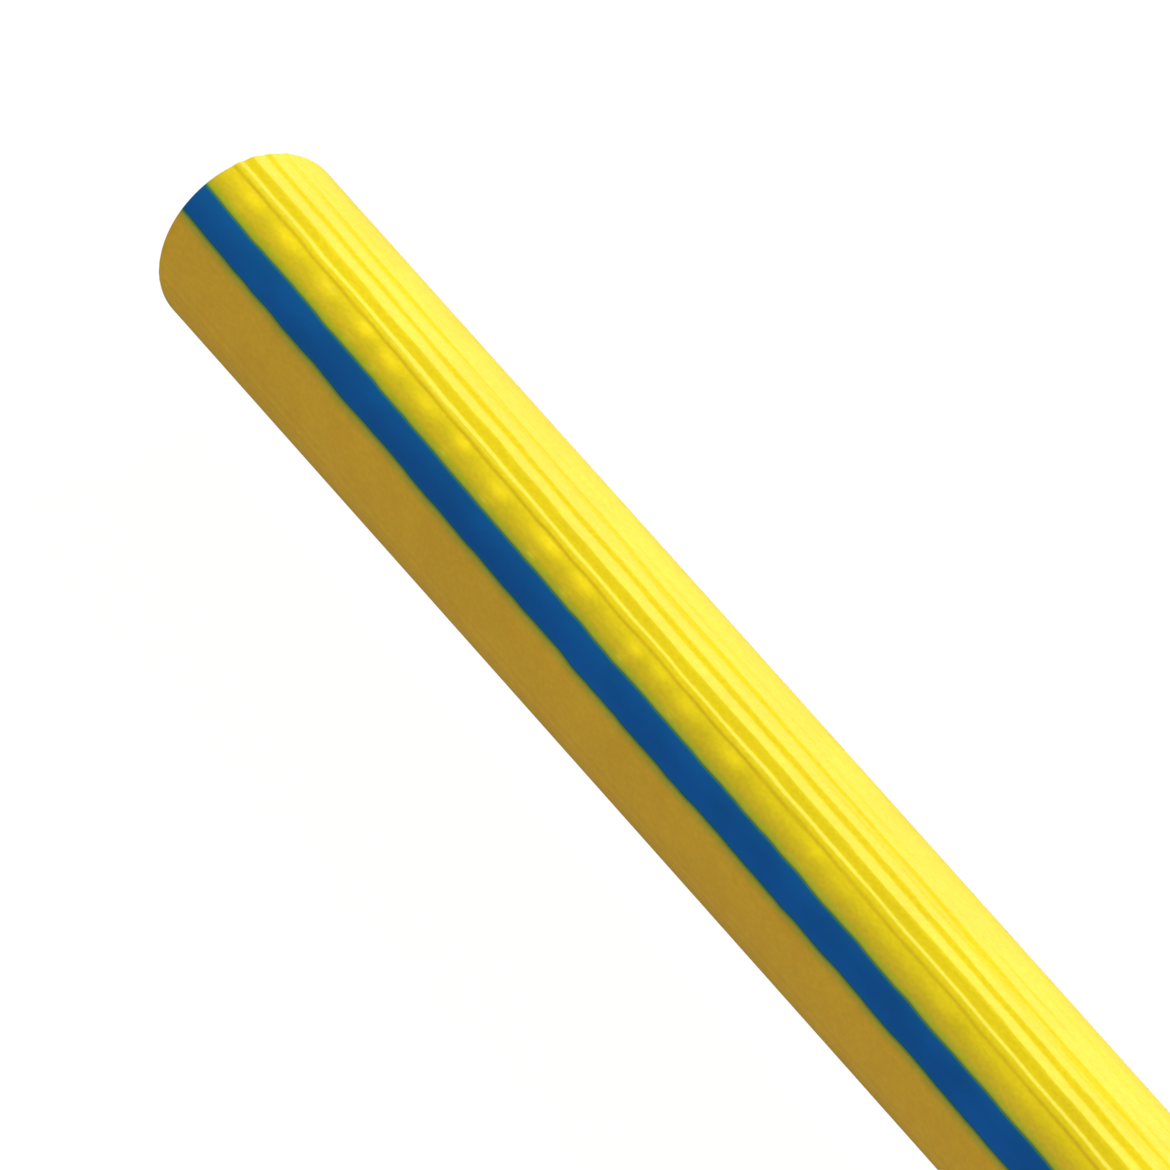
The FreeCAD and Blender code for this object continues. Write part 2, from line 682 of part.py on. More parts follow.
def tow_line():
    """From an eye round the core webbing, down to the floor, through four flakes and up to the thimble's eye."""
    neck_reach = eye_reach(value("neck_eye"), value("neck_flat"), EYE_SLANT)
    start = V(value("neck_x"), value("neck_past") - neck_reach, value("pair_half"))
    line = Trail(start, Y_AXIS)
    eye(line, value("neck_eye"), value("neck_flat"), EYE_SLANT, X_AXIS)
    line.straight(value("drop_start"))
    line.sidestep(line.end.z - value("rope_z"), DROP_SLANT, X_AXIS)
    line.straight(line.end.y - value("flake_y + floor_bend"))
    line.bend(value("floor_bend"), -90, Z_AXIS)

    right = line.end.x
    left = value("flake_left")
    turn_radius = value("flake_gap / 2")
    for back in (180, -180, 180):
        line.straight(right - left)
        line.bend(turn_radius, back, Z_AXIS)
    rise = value("strap_z - rope_z")
    thimble_reach = eye_reach(value("thimble_eye"), 0, THIMBLE_SLANT)
    line.straight(value("strap_x") - thimble_reach - sidestep_length(rise, EYE_SLANT) - left)
    line.sidestep(-rise, EYE_SLANT, Y_AXIS)
    eye(line, value("thimble_eye"), 0, THIMBLE_SLANT, Z_AXIS)

    rope = doc.addObject("Part::Feature", "tow_line")
    rope.Shape = line.pipe(value("rope_radius"))
    return rope


def ferrule(name, x, y, z, turn):
    """A crimped sleeve round two parts of the line that lie side by side."""
    body = new_body(name)
    sketch = new_sketch(body, name + "_section", "YZ_Plane")
    outside = "rope_radius + ferrule_wall"
    draw_path(sketch, [
        ("pair_half", f"0 - ({outside})", "pair_half", "0"),
        ("pair_half", outside),
        ("0 - pair_half", outside, "0 - pair_half", "0"),
        ("0 - pair_half", f"0 - ({outside})"),
    ])
    for side in ("pair_half", "0 - pair_half"):
        draw_circle(sketch, "rope_radius", side, "0")
    pad(body, sketch, "ferrule_long")
    return place(body, x, y, z, turn)


def ferrules():
    neck_reach = eye_reach(value("neck_eye"), value("neck_flat"), EYE_SLANT)
    neck = ferrule("neck_ferrule", "neck_x", f"neck_past - {neck_reach} + tail_out", "0", turned(V(1, 1, 1), 120))
    thimble_reach = eye_reach(value("thimble_eye"), 0, THIMBLE_SLANT)
    strap = ferrule("strap_ferrule", f"strap_x - {thimble_reach} + tail_out", "strap_y", "strap_z", None)
    return group("line_ferrules", [neck, strap])


def thimble():
    """A round thimble, its groove filled by the line."""
    low = "0 - thimble_high / 2"
    rim = cylinder("thimble_rim", "thimble_bore / 2 + thimble_wall + thimble_lip", "thimble_high", z=low)
    bore = cylinder("thimble_hole", "thimble_bore / 2", "thimble_high", z=low)
    groove = torus("thimble_groove", "thimble_eye", "rope_radius")
    return place(cut("line_thimble", rim, fuse("thimble_cuts", [bore, groove])), "strap_x", "strap_y", "strap_z")


# ------------------------------------------------------------------------------------- shoulder strap


def on_strap(thing):
    """Puts a piece made round the thimble's centre, strap towards +X, where the strap lies."""
    return place(thing, "strap_x", "strap_y", "strap_z", turned(Z_AXIS, value("strap_turn")))


LEG_TURN = turned(Z_AXIS, math.degrees(math.asin(value("leg_sin"))))


def on_leg(along, out):
    """Bound position of a point on the strap's leg: along it from its ring and out from its outer face."""
    x = f"strap_bar - loop_outer * leg_sin + ({along}) * leg_cos - ({out}) * leg_sin"
    y = f"loop_outer * leg_cos + ({along}) * leg_sin + ({out}) * leg_cos"
    return x, y


def strap_ring():
    ring = d_ring("strap_d_ring", "strap_bow")
    heading = value("strap_turn")
    upright = turned(Z_AXIS, heading + 180).multiply(turned(X_AXIS, 90))
    x = "strap_x + strap_bar * cos(strap_turn)"
    y = "strap_y + strap_bar * sin(strap_turn)"
    return place(ring, x, y, "strap_z", upright)


def draw_belt(sketch, small, large):
    """A belt round two pulleys: the ring's bar and the strap's curve."""
    draw_path(sketch, [
        (f"strap_bar - ({small}) * leg_sin", f"0 - ({small}) * leg_cos"),
        (f"strap_centre - ({large}) * leg_sin", f"0 - ({large}) * leg_cos", "strap_centre", "0"),
        (f"strap_centre - ({large}) * leg_sin", f"({large}) * leg_cos"),
        (f"strap_bar - ({small}) * leg_sin", f"({small}) * leg_cos", "strap_bar", "0"),
    ])


def shoulder_webbing():
    """One loop of webbing, its ends overlapped on one leg."""
    belt = new_body("shoulder_belt")
    sketch = new_sketch(belt, "belt_line")
    draw_belt(sketch, "loop_outer", "strap_round + web_thick")
    draw_belt(sketch, "loop_inner", "strap_round")
    pad(belt, sketch, "strap_wide", both_ways=True)
    x, y = on_leg("lap_from", "0")
    lap = box("shoulder_lap", "lap_long", "web_thick", "strap_wide", x, y, "0 - strap_wide / 2", LEG_TURN)
    return on_strap(fuse("shoulder_webbing", [belt, lap]))


def strap_tack():
    """Rows of stitches through the overlap, on both its faces."""
    rows = []
    for row in range(int(value("tack_rows"))):
        for face in ("web_thick", "0 - web_thick - tack_high"):
            x, y = on_leg(f"lap_from + lap_tack + {row} * tack_step", face)
            size = ("tack_wide", "tack_high", "strap_wide - lap_tack")
            rows.append(box("strap_tack_row", *size, x, y, "0 - (strap_wide - lap_tack) / 2", LEG_TURN))
    return on_strap(group("strap_bar_tack", rows))


def slider():
    """A three-bar slider round both layers of the overlap."""
    outer_half = "(slider_slot / 2 + slider_wall)"
    height = "strap_wide + 2 * (web_room + slider_rail)"
    x, y = on_leg("slider_at - slider_long / 2", "0 - " + outer_half)
    block = box("slider_block", "slider_long", "2 * " + outer_half, height, x, y, f"0 - ({height}) / 2", LEG_TURN)
    inside = "strap_wide + 2 * web_room"
    x, y = on_leg("slider_at - slider_long / 2", "0 - slider_slot / 2")
    cuts = [box("slider_slot_part", "slider_long", "slider_slot", inside, x, y, f"0 - ({inside}) / 2", LEG_TURN)]
    for step in ("slider_bar", "2 * slider_bar + slider_window"):
        x, y = on_leg("slider_at - slider_long / 2 + " + step, "0 - " + outer_half)
        size = ("slider_window", "2 * " + outer_half, inside)
        cuts.append(box("slider_opening", *size, x, y, f"0 - ({inside}) / 2", LEG_TURN))
    return on_strap(cut("strap_slider", block, fuse("slider_cuts", cuts)))


def shoulder_pad():
    """A soft sleeve round the strap's curve."""
    body = new_body("pad_sleeve")
    sketch = new_sketch(body, "pad_section", "XZ_Plane")
    cover = "(pad_thick - web_thick) / 2"
    sides = (f"strap_round - {cover}", f"strap_round + web_thick + {cover}", "0 - pad_high / 2", "pad_high / 2")
    draw_rounded(sketch, *sides, "pad_round")
    room = "strap_wide / 2 + web_room"
    draw_rectangle(sketch, "strap_round - web_room", "strap_round + web_thick + web_room", f"0 - ({room})", room)
    turn = body.newObject("PartDesign::Revolution", "pad_turn")
    turn.Profile = sketch
    turn.ReferenceAxis = (next(f for f in body.Origin.OriginFeatures if f.Role == "Z_Axis"), [""])
    turn.Midplane = True
    bind(turn, Angle="2 * pad_half")
    body.Tip = turn
    place(body, "strap_centre")
    return on_strap(group("shoulder_pad", [body]))


# ------------------------------------------------------------------------------------- build and write

upper_foam = foam_half()
blue_stripe = stripe()
near_ring = place(d_ring("near_d_ring", "bow_radius"), "near_bar", turn=turned(Y_AXIS, value("near_droop")))
far_ring = place(d_ring("far_d_ring", "bow_radius"), "far_bar", turn=turned(Y_AXIS, 90))

sub_parts = [
    upper_foam,
    other_foam_half(upper_foam),
    skin(blue_stripe),
    blue_stripe,
    end_disc("far_end_disc", "0 - disc_face"),
    end_disc("near_end_disc", "core_end"),
    strap_patch("far_strap_patch", "0 - disc_face - patch_thick"),
    strap_patch("near_strap_patch", "disc_face"),
    core_webbing(),
    core_tack("far_bar_tack", "lap_tack - core_end"),
    core_tack("near_bar_tack", "tail_end + lap_tack"),
    far_ring,
    near_ring,
    swivel_eye(),
    swivel_washer(),
    hook_body(),
    gate_pin(),
    hook_gate(),
    gate_spring(),
    tow_line(),
    ferrules(),
    thimble(),
    strap_ring(),
    shoulder_webbing(),
    strap_tack(),
    slider(),
    shoulder_pad(),
]
doc.recompute()

for thing in doc.Objects:
    if "Invalid" in thing.State or "Error" in thing.State:
        raise RuntimeError(f"{thing.Name} did not rebuild: {thing.State}")

os.makedirs("parts", exist_ok=True)
for part in sub_parts:
    if part.Shape.isNull() or not part.Shape.isValid():
        raise RuntimeError(f"{part.Label} has no valid shape")
    part.Shape.exportStep(f"parts/{part.Label}.step")
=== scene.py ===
"""Rescue tube: the detailed model and its picture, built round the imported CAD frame. Lengths in metres."""

import json
import math

import bmesh
import bpy
import numpy as np
from mathutils import Matrix, Vector, noise


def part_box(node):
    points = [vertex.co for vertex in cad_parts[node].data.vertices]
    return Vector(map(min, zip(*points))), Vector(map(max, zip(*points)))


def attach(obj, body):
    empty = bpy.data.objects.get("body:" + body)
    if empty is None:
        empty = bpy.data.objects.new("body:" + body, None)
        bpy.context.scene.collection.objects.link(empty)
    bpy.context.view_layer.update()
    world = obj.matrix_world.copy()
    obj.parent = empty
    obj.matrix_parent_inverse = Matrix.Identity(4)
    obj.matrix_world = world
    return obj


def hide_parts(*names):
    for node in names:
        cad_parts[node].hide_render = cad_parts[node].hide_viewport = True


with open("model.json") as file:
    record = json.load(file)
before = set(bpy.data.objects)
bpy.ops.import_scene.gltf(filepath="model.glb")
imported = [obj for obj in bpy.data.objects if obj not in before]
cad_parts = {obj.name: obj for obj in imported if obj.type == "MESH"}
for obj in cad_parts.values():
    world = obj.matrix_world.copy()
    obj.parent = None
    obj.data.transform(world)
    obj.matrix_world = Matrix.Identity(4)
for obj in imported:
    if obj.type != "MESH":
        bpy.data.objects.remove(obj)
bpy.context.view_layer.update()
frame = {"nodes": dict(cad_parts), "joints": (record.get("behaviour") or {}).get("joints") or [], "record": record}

MM = 0.001
FULL_TURN = 2 * math.pi
RECORD = frame["record"]
JOINTS = {joint["name"]: joint for joint in frame["joints"]}
MOUNTS = {mount["name"]: mount for mount in RECORD["mounts"]}
BODY_OF = {name: body for body, names in RECORD["behaviour"]["bodies"].items() for name in names}
SLOT_OF = {part["node"]: part["material_slot"] for part in RECORD["subparts"]}
X, Y, Z = Vector((1, 0, 0)), Vector((0, 1, 0)), Vector((0, 0, 1))

skin_low, skin_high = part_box("vinyl_skin")
TUBE_RADIUS = skin_high.z
TUBE_LENGTH = skin_high.x - skin_low.x
FAR_RIM, NEAR_RIM = skin_low.x, skin_high.x
CORE_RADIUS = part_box("far_end_disc")[1].z
LINE_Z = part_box("tow_line")[0].z

# The picture looks at the tube's far end from above and beyond its near end, through a very long lens.
VIEW_AZIMUTH = math.radians(60.76)
VIEW_ELEVATION = math.radians(38.8)
VIEW_WIDTH = 0.731
VIEW_CENTRE = Vector((FAR_RIM + 0.3205 * TUBE_LENGTH, 0.236 * TUBE_RADIUS, 0))
LENS_MM = 1400
SENSOR_MM = 36

# The sun stands square to the tube on its +Y side.
SUN_HEIGHT = math.radians(48)
TO_SUN = Vector((0, math.cos(SUN_HEIGHT), math.sin(SUN_HEIGHT)))


# ---- meshes


def set_all(target, **settings):
    for name, value in settings.items():
        setattr(target, name, value)
    return target


def new_object(name, data):
    made = bpy.data.objects.new(name, data)
    bpy.context.scene.collection.objects.link(made)
    return made


def finish_mesh(mesh):
    """Turns all faces outwards and shades them, with many-sided end faces left flat."""
    work = bmesh.new()
    work.from_mesh(mesh)
    bmesh.ops.recalc_face_normals(work, faces=work.faces)
    for face in work.faces:
        face.smooth = len(face.verts) <= 4
    work.to_mesh(mesh)
    work.free()


def add_values(piece, name, values):
    """A number at every point, for the material to read."""
    attribute = piece.data.attributes.new(name, "FLOAT", "POINT")
    attribute.data.foreach_set("value", np.asarray(values, np.float32).ravel())


def stands_for(piece, cad_node):
    """The piece replaces a CAD node, moves with its body and has its material."""
    slot = SLOT_OF[cad_node]
    if not piece.data.materials:
        piece.data.materials.append(MATERIALS[slot])
    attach(piece, BODY_OF[cad_node])
    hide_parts(cad_node)


def distances(points, closed=False):
    """Distance along a line of points, with one more entry where the line closes."""
    following = np.roll(points, -1, axis=0) if closed else points[1:]
    steps = np.linalg.norm(following - points[:len(following)], axis=1)
    return np.concatenate([[0], np.cumsum(steps)])


def surface(name, grids, closed_rows=False):
    """A piece from grids of closed rows of points, its open ends capped, with UVs in metres."""
    points, faces, uvs = [], [], []
    for grid in grids:
        rows, columns = grid.shape[:2]
        start = len(points)
        points.extend(grid.reshape(-1, 3))
        u = distances(grid[rows // 2], closed=True)
        v = distances(grid[:, 0], closed_rows)
        row, column = np.mgrid[:len(v) - 1, :columns].reshape(2, -1)
        corners = [(row, column), (row, column + 1), (row + 1, column + 1), (row + 1, column)]
        quads = [start + columns * (r % rows) + c % columns for r, c in corners]
        faces.extend(np.stack(quads, axis=1).tolist())
        uvs.extend(np.stack([np.stack([u[c], v[r]], axis=1) for r, c in corners], axis=1).ravel())
        if not closed_rows:
            for cap in (range(columns), range((rows - 1) * columns, rows * columns)):
                faces.append(tuple(start + index for index in cap))
                uvs.extend((0.0, 0.0) * columns)
    mesh = bpy.data.meshes.new(name)
    mesh.from_pydata([tuple(point) for point in points], [], faces)
    mesh.uv_layers.new(name="metres").data.foreach_set("uv", uvs)
    finish_mesh(mesh)
    return new_object(name, mesh)


def unit(vectors):
    return vectors / np.linalg.norm(vectors, axis=-1, keepdims=True)


def smooth_step(value, low, high):
    share = np.clip((value - low) / (high - low), 0, 1)
    return share * share * (3 - 2 * share)


def bump_at(distance, at, half):
    """A smooth bump, 1 high, at a distance."""
    return np.exp(-(((distance - at) / half) ** 2))


def rounded_edge(distance, radius):
    """How far a surface falls away beside an edge."""
    inside = np.clip(1 - distance / radius, 0, 1)
    return radius * (1 - np.sqrt(1 - inside**2))


def bake(piece):
    """Makes what the modifiers show the piece's own mesh."""
    shown = piece.evaluated_get(bpy.context.evaluated_depsgraph_get())
    piece.data = bpy.data.meshes.new_from_object(shown)
    piece.modifiers.clear()
    piece.data.polygons.foreach_set("use_smooth", [True] * len(piece.data.polygons))


def get_points(mesh, what="co"):
    values = np.empty(len(mesh.vertices) * 3, np.float32)
    mesh.vertices.foreach_get(what, values)
    return values.reshape(-1, 3).astype(float)


def set_points(mesh, points):
    mesh.vertices.foreach_set("co", points.astype(np.float32).ravel())
    mesh.update()


def add_modifier(piece, kind, **settings):
    return set_all(piece.modifiers.new(kind.lower(), kind), **settings)


def remeshed(piece, voxel, rounds):
    """One closed skin of even faces, with edges rounded and inner corners filled."""
    add_modifier(piece, "REMESH", mode="VOXEL", voxel_size=voxel)
    add_modifier(piece, "SMOOTH", factor=0.5, iterations=rounds)
    bake(piece)
    return piece


def cast(name, cad_node, voxel_mm, rounds, detail):
    """A CAD node's form as it leaves the mould. Detail gives each point's shift from points and normals."""
    work = bmesh.new()
    work.from_mesh(frame["nodes"][cad_node].data)
    bmesh.ops.remove_doubles(work, verts=work.verts, dist=0.001 * MM)
    mesh = bpy.data.meshes.new(name)
    work.to_mesh(mesh)
    work.free()
    piece = remeshed(new_object(name, mesh), voxel_mm * MM, rounds)
    piece.data.materials.clear()
    if detail:
        points = get_points(piece.data)
        set_points(piece.data, points + detail(points, get_points(piece.data, "normal")))
    stands_for(piece, cad_node)


def stitch(centre, along, side, long, wide, high):
    """One stitch: a small rounded length of thread."""
    rows = np.linspace(-1, 1, 7)[:, None]
    around = np.linspace(0, FULL_TURN, 8, endpoint=False)[None, :]
    swell = np.sqrt(1 - (0.97 * rows) ** 2)[..., None]
    along, side = np.array(along), np.array(side)
    up = np.cross(along, side)
    ring = side * (wide / 2 * np.cos(around))[..., None] + up * (high / 2 * np.sin(around))[..., None]
    return np.array(centre) + along * (long / 2 * rows)[..., None] + ring * swell


# ---- shader nodes


class Shade:
    """A value in the node tree that is being built. Sums and products of shades are nodes too."""

    tree = None

    def __init__(self, socket):
        self.socket = socket

    def __add__(self, other):
        return calculate("ADD", self, other)

    def __sub__(self, other):
        return calculate("SUBTRACT", self, other)

    def __mul__(self, other):
        return calculate("MULTIPLY", self, other)

    def __truediv__(self, number):
        return self * (1 / number)


def put(socket, value):
    """Links a shade to a node's socket, or sets the socket to a number, vector or colour."""
    if isinstance(value, Shade):
        Shade.tree.links.new(value.socket, socket)
    else:
        socket.default_value = (*value, 1) if socket.type == "RGBA" else value


def node(kind, sockets=None, **settings):
    made = set_all(Shade.tree.nodes.new("ShaderNode" + kind), **settings)
    for name, value in (sockets or {}).items():
        put(made.inputs[name], value)
    return made


def shade(kind, output, sockets=None, **settings):
    """One output of a new node."""
    return Shade(node(kind, sockets, **settings).outputs[output])


def calculate(operation, a, b=0.0):
    return shade("Math", 0, {0: a, 1: b}, operation=operation)


def remap(value, low, high, to_low=0.0, to_high=1.0):
    sockets = {"Value": value, "From Min": low, "From Max": high, "To Min": to_low, "To Max": to_high}
    return shade("MapRange", "Result", sockets, interpolation_type="SMOOTHSTEP")


def mix_colours(share, a, b, blend="MIX"):
    return shade("Mix", 2, {0: share, 6: a, 7: b}, data_type="RGBA", blend_type=blend)


def scaled(colour, factor):
    """A colour made lighter or darker."""
    return shade("VectorMath", 0, {0: colour, "Scale": factor}, operation="SCALE")


def ramp(value, stops):
    """Colour from a value between 0 and 1, given (position, colour) stops."""
    made = node("ValToRGB", {"Fac": value})
    elements = made.color_ramp.elements
    while len(elements) < len(stops):
        elements.new(0.5)
    for element, (position, colour) in zip(elements, stops):
        element.position = position
        element.color = (*colour, 1)
    return Shade(made.outputs["Color"])


def read_value(name):
    return shade("Attribute", "Fac", attribute_name=name)


def axes(kind):
    """The three parts of a texture coordinate."""
    parts = node("SeparateXYZ", {0: shade("TexCoord", kind)}).outputs
    return [Shade(parts[axis]) for axis in "XYZ"]


def object_noise(scale, detail=2.0, stretch=(1, 1, 1)):
    """Noise in the object's own space, stretched along its axes."""
    place = shade("TexCoord", "Object")
    place = shade("Mapping", "Vector", {"Vector": place, "Scale": stretch})
    return shade("TexNoise", "Fac", {"Vector": place, "Scale": scale, "Detail": detail})


def blots(scale, detail, low, high, stretch=(1, 1, 1)):
    """Noise that ranges between two values."""
    return remap(object_noise(scale, detail, stretch), 0.3, 0.7, low, high)


def wear_and_corner_shade(dull, bright):
    """Darker in corners, as painted shade, and lighter along edges, as wear."""
    return remap(shade("NewGeometry", "Pointiness"), 0.46, 0.56, dull, bright)


def wave(turns):
    """A sine of a value counted in whole turns."""
    return calculate("SINE", turns * FULL_TURN)


def new_material(name, colour, roughness, bump, bump_mm, bump_strength, **principled):
    """A principled material. Functions build its colour and bump. Its roughness is one value, or a middle
    value, the spread about it and the scale of the noise that spreads it."""
    material = bpy.data.materials.new(name)
    material.use_nodes = True
    Shade.tree = material.node_tree
    inputs = Shade.tree.nodes["Principled BSDF"].inputs
    put(inputs["Base Color"], colour())
    if isinstance(roughness, tuple):
        middle, spread, scale = roughness
        roughness = blots(scale, 3, middle - spread, middle + spread)
    put(inputs["Roughness"], roughness)
    sockets = {"Height": bump(), "Strength": bump_strength, "Distance": bump_mm * MM}
    put(inputs["Normal"], shade("Bump", "Normal", sockets))
    for key, value in principled.items():
        put(inputs[key.replace("_", " ").title().replace("Ior", "IOR")], value)
    return material


# ---- vinyl

# The first seven colours are lit, highlight and shaded copies of the vinyl's colours, which the materials mix by
# how far the surface faces the sun: painted light and shade.
LIT_YELLOW = (0.87, 0.705, 0.006)
HIGHLIGHT_YELLOW = (0.96, 0.868, 0.092)
FULL_SUN_YELLOW = (0.93, 0.765, 0.090)
SHADE_YELLOW = (0.87, 0.55, 0.042)
ORANGE_SHADE = (0.84, 0.46, 0.035)
SHADE_BLUE = (0.001, 0.128, 0.52)
LIT_BLUE = (0.001, 0.115, 0.38)
STRIPE_EDGE = (0.004, 0.17, 0.22)
EDGE_GREEN = (0.13, 0.26, 0.07)
# These multiply the yellow they lie on: olive at the stripe's edge, painted shade beside the stripe on its sunlit
# side, and painted shade in the crease.
EDGE_OLIVE = (0.50, 0.90, 1.1)
SHADE_BESIDE_STRIPE = (0.80, 0.77, 1.9)
CREASE_SHADE = (0.90, 0.80, 1.0)

# How much the painted highlight on the puckers brightens the yellow.
GLEAM_SHARE = 0.30
WELD_HATCH = 2.4 * MM


def sunward():
    """How far the surface faces the sun, from -1 to 1."""
    normal = shade("NewGeometry", "Normal")
    return shade("VectorMath", "Value", {0: normal, 1: TO_SUN}, operation="DOT_PRODUCT")


def yellow(lean=None):
    """Yellow vinyl with painted light and shade: pale where the sun is full on it, deep beside that, and warm out
    of the sun.
    """
    facing = sunward()
    # Painted highlight: the streaks and the ridges' lean move where the pale highlight begins.
    streaks = blots(330, 3, -0.16, 0.12, (0.02, 1, 1))
    full = facing + streaks + lean * 0.30 if lean else facing
    pale = mix_colours(remap(facing, 0.66, 0.93), HIGHLIGHT_YELLOW, FULL_SUN_YELLOW)
    lit = mix_colours(remap(full, 0.58, 0.94), LIT_YELLOW, pale)
    base = mix_colours(remap(facing, -0.10, 0.36), SHADE_YELLOW, lit)
    mottle = remap(object_noise(26, 4, (0.45, 1, 1)), 0.35, 0.65, 0.97, 1.02)
    grain = blots(420, 3, 0.955, 1.035, (0.5, 1, 1))
    # Painted shade: warm orange blotches where the surface turns from the sun.
    warm = remap(object_noise(60, 3), 0.4, 0.7, 0, 0.35) * remap(facing, 0.2, -0.1)
    return mix_colours(warm, scaled(base, mottle * grain), ORANGE_SHADE)


def skin_colour():
    """The sleeve: yellow with painted light and shade, duller beside the stripe as painted shade, and then green
    beside the stripe.
    """
    lean = read_value("lean")
    in_shade = remap(sunward(), 0.15, -0.1)
    # Painted shade: out of the sun, the ridges' lean still lightens and darkens the yellow a little.
    base = scaled(yellow(lean), lean * in_shade * 0.05 + 1)
    away = read_value("from_stripe")
    # Painted shade: duller beside the stripe, on its sunlit side only.
    beside = remap(away, 20 * MM, 5 * MM) * remap(sunward(), 0.1, 0.3)
    base = mix_colours(beside, base, SHADE_BESIDE_STRIPE, "MULTIPLY")
    # Painted highlight on the puckers.
    base = scaled(base, read_value("gleam") * GLEAM_SHARE + 1)
    # Painted shade in the crease at the foot of the first ridge.
    base = mix_colours(read_value("crease"), base, CREASE_SHADE, "MULTIPLY")
    base = mix_colours(remap(away, 8.5 * MM, 0.8 * MM, 0, 0.85), base, EDGE_OLIVE, "MULTIPLY")
    return mix_colours(remap(away, 2.6 * MM, 0, 0, 0.95), base, EDGE_GREEN)


def stripe_colour():
    # Painted light and shade: the blue is mixed from shaded and lit copies by how far it faces the sun.
    base = mix_colours(remap(sunward(), -0.15, 0.35), SHADE_BLUE, LIT_BLUE)
    edge = remap(read_value("from_stripe"), 2.2 * MM, 0, 0, 0.85)
    return mix_colours(edge, scaled(base, blots(30, 4, 0.90, 1.10, (0.4, 1, 1))), STRIPE_EDGE)


def vinyl_grain():
    return object_noise(1400, 2) * 0.4 + object_noise(240, 3, (0.08, 1, 1))


def welded_grain():
    """Cross-hatched marks that a welding die leaves, over the vinyl's own grain."""
    _, y, z = axes("Object")
    across, up = y / WELD_HATCH, z / WELD_HATCH
    return wave(across + up) * wave(across - up) * 0.8 + vinyl_grain()


# ---- metal, plastic and fabric

BLACK_NYLON = (0.022, 0.022, 0.025)
BLACK_CORDURA = (0.030, 0.031, 0.036)
THREAD_WHITE = (0.74, 0.73, 0.68)
ROPE_WHITE = (0.76, 0.75, 0.70)
ROPE_DIRT = (0.52, 0.50, 0.43)
FOAM_WHITE = (0.84, 0.83, 0.76)
WORN_PLASTIC = (0.16, 0.16, 0.16)
WEB_CHEVRON = 5.0 * MM
WEB_RIB = 1.5 * MM
WEB_WARP = 1.25 * MM
CORDURA_YARN = 1.3 * MM
YARN_TURN = 9 * MM
YARNS_ROUND_STRAND = 6
PLY_LONG, PLY_ROUND = 0.7 * MM, 1.4 * MM

ROPE_RADIUS = 4 * MM
# Three round strands touch each other and the rope's outside.
STRAND_RADIUS = ROPE_RADIUS / (1 + 2 / math.sqrt(3))


def steel(name, colour, roughness, marks):
    """Bare metal with fine scratches, wiped brighter along its edges, with painted shade darker in its corners."""
    def tint():
        return scaled(colour, wear_and_corner_shade(0.72, 1.12) * blots(300, 3, 0.90, 1.05))

    def scratches():
        return object_noise(marks, 2, (0.12, 1, 1)) + object_noise(2500, 1) * 0.3

    return new_material(name, tint, (roughness, 0.06, 260), scratches, 0.03, 0.35, metallic=1.0)


def moulded(name, colour, roughness):
    """Dark moulded plastic with a fine matt grain and paler edges."""
    def tint():
        return mix_colours(wear_and_corner_shade(0.0, 0.30), colour, WORN_PLASTIC)

    def grain():
        return object_noise(1800, 2) + object_noise(350, 3) * 0.5

    return new_material(name, tint, (roughness, 0.06, 200), grain, 0.05, 0.35)


def webbing_weave():
    """Chevron ribs across the webbing, with warp lines along it."""
    u, v, _ = axes("UV")
    ribs = wave(v / WEB_RIB + wave(u / WEB_CHEVRON) * 0.32)
    return ribs + wave(u / WEB_WARP) * 0.45 + object_noise(2600, 2) * 0.5


# Painted light and shade: the black is lighter on the weave's ribs and darker in its hollows.
def webbing_colour():
    return scaled(BLACK_NYLON, remap(webbing_weave(), -1.0, 1.6, 0.55, 1.5) * blots(55, 3, 0.8, 1.25))


def cordura_weave():
    """A plain weave laid along and across the pad."""
    checks = wave(read_value("arc") / CORDURA_YARN) * wave(read_value("rise") / CORDURA_YARN)
    return checks + object_noise(2200, 2) * 0.4


# Painted light and shade: the black is lighter where the weave is raised and darker where it sinks.
def cordura_colour():
    return scaled(BLACK_CORDURA, remap(cordura_weave(), -0.8, 1.2, 0.6, 1.45) * blots(40, 4, 0.8, 1.3))


def rope_yarns():
    """Yarns that turn against the lay of each strand."""
    u, v, _ = axes("UV")
    yarns = wave(u * (YARNS_ROUND_STRAND / (FULL_TURN * STRAND_RADIUS)) - v / YARN_TURN)
    return yarns + object_noise(2400, 2) * 0.6


# Painted shade: the white is darker in the hollows between the yarns. The blotches of dirt are real.
def rope_colour():
    dirt = remap(object_noise(38, 4), 0.42, 0.72, 0, 0.30)
    return mix_colours(dirt, scaled(ROPE_WHITE, remap(rope_yarns(), -1.2, 1.4, 0.78, 1.06)), ROPE_DIRT)


def blotched(colour, scale, detail, dark, light):
    return lambda: scaled(colour, blots(scale, detail, dark, light))


def thread_twist():
    u, v, _ = axes("UV")
    return wave(v / PLY_LONG + u / PLY_ROUND)


def foam_cells():
    place = shade("TexCoord", "Object")
    cells = shade("TexVoronoi", "Distance", {"Vector": place, "Scale": 900})
    return cells + object_noise(120, 3) * 0.6


def vinyl(name, colour, roughness, shine):
    return new_material(
        name, colour, (roughness, 0.05, 90), vinyl_grain, 0.06, 0.35, specular_ior_level=shine,
    )


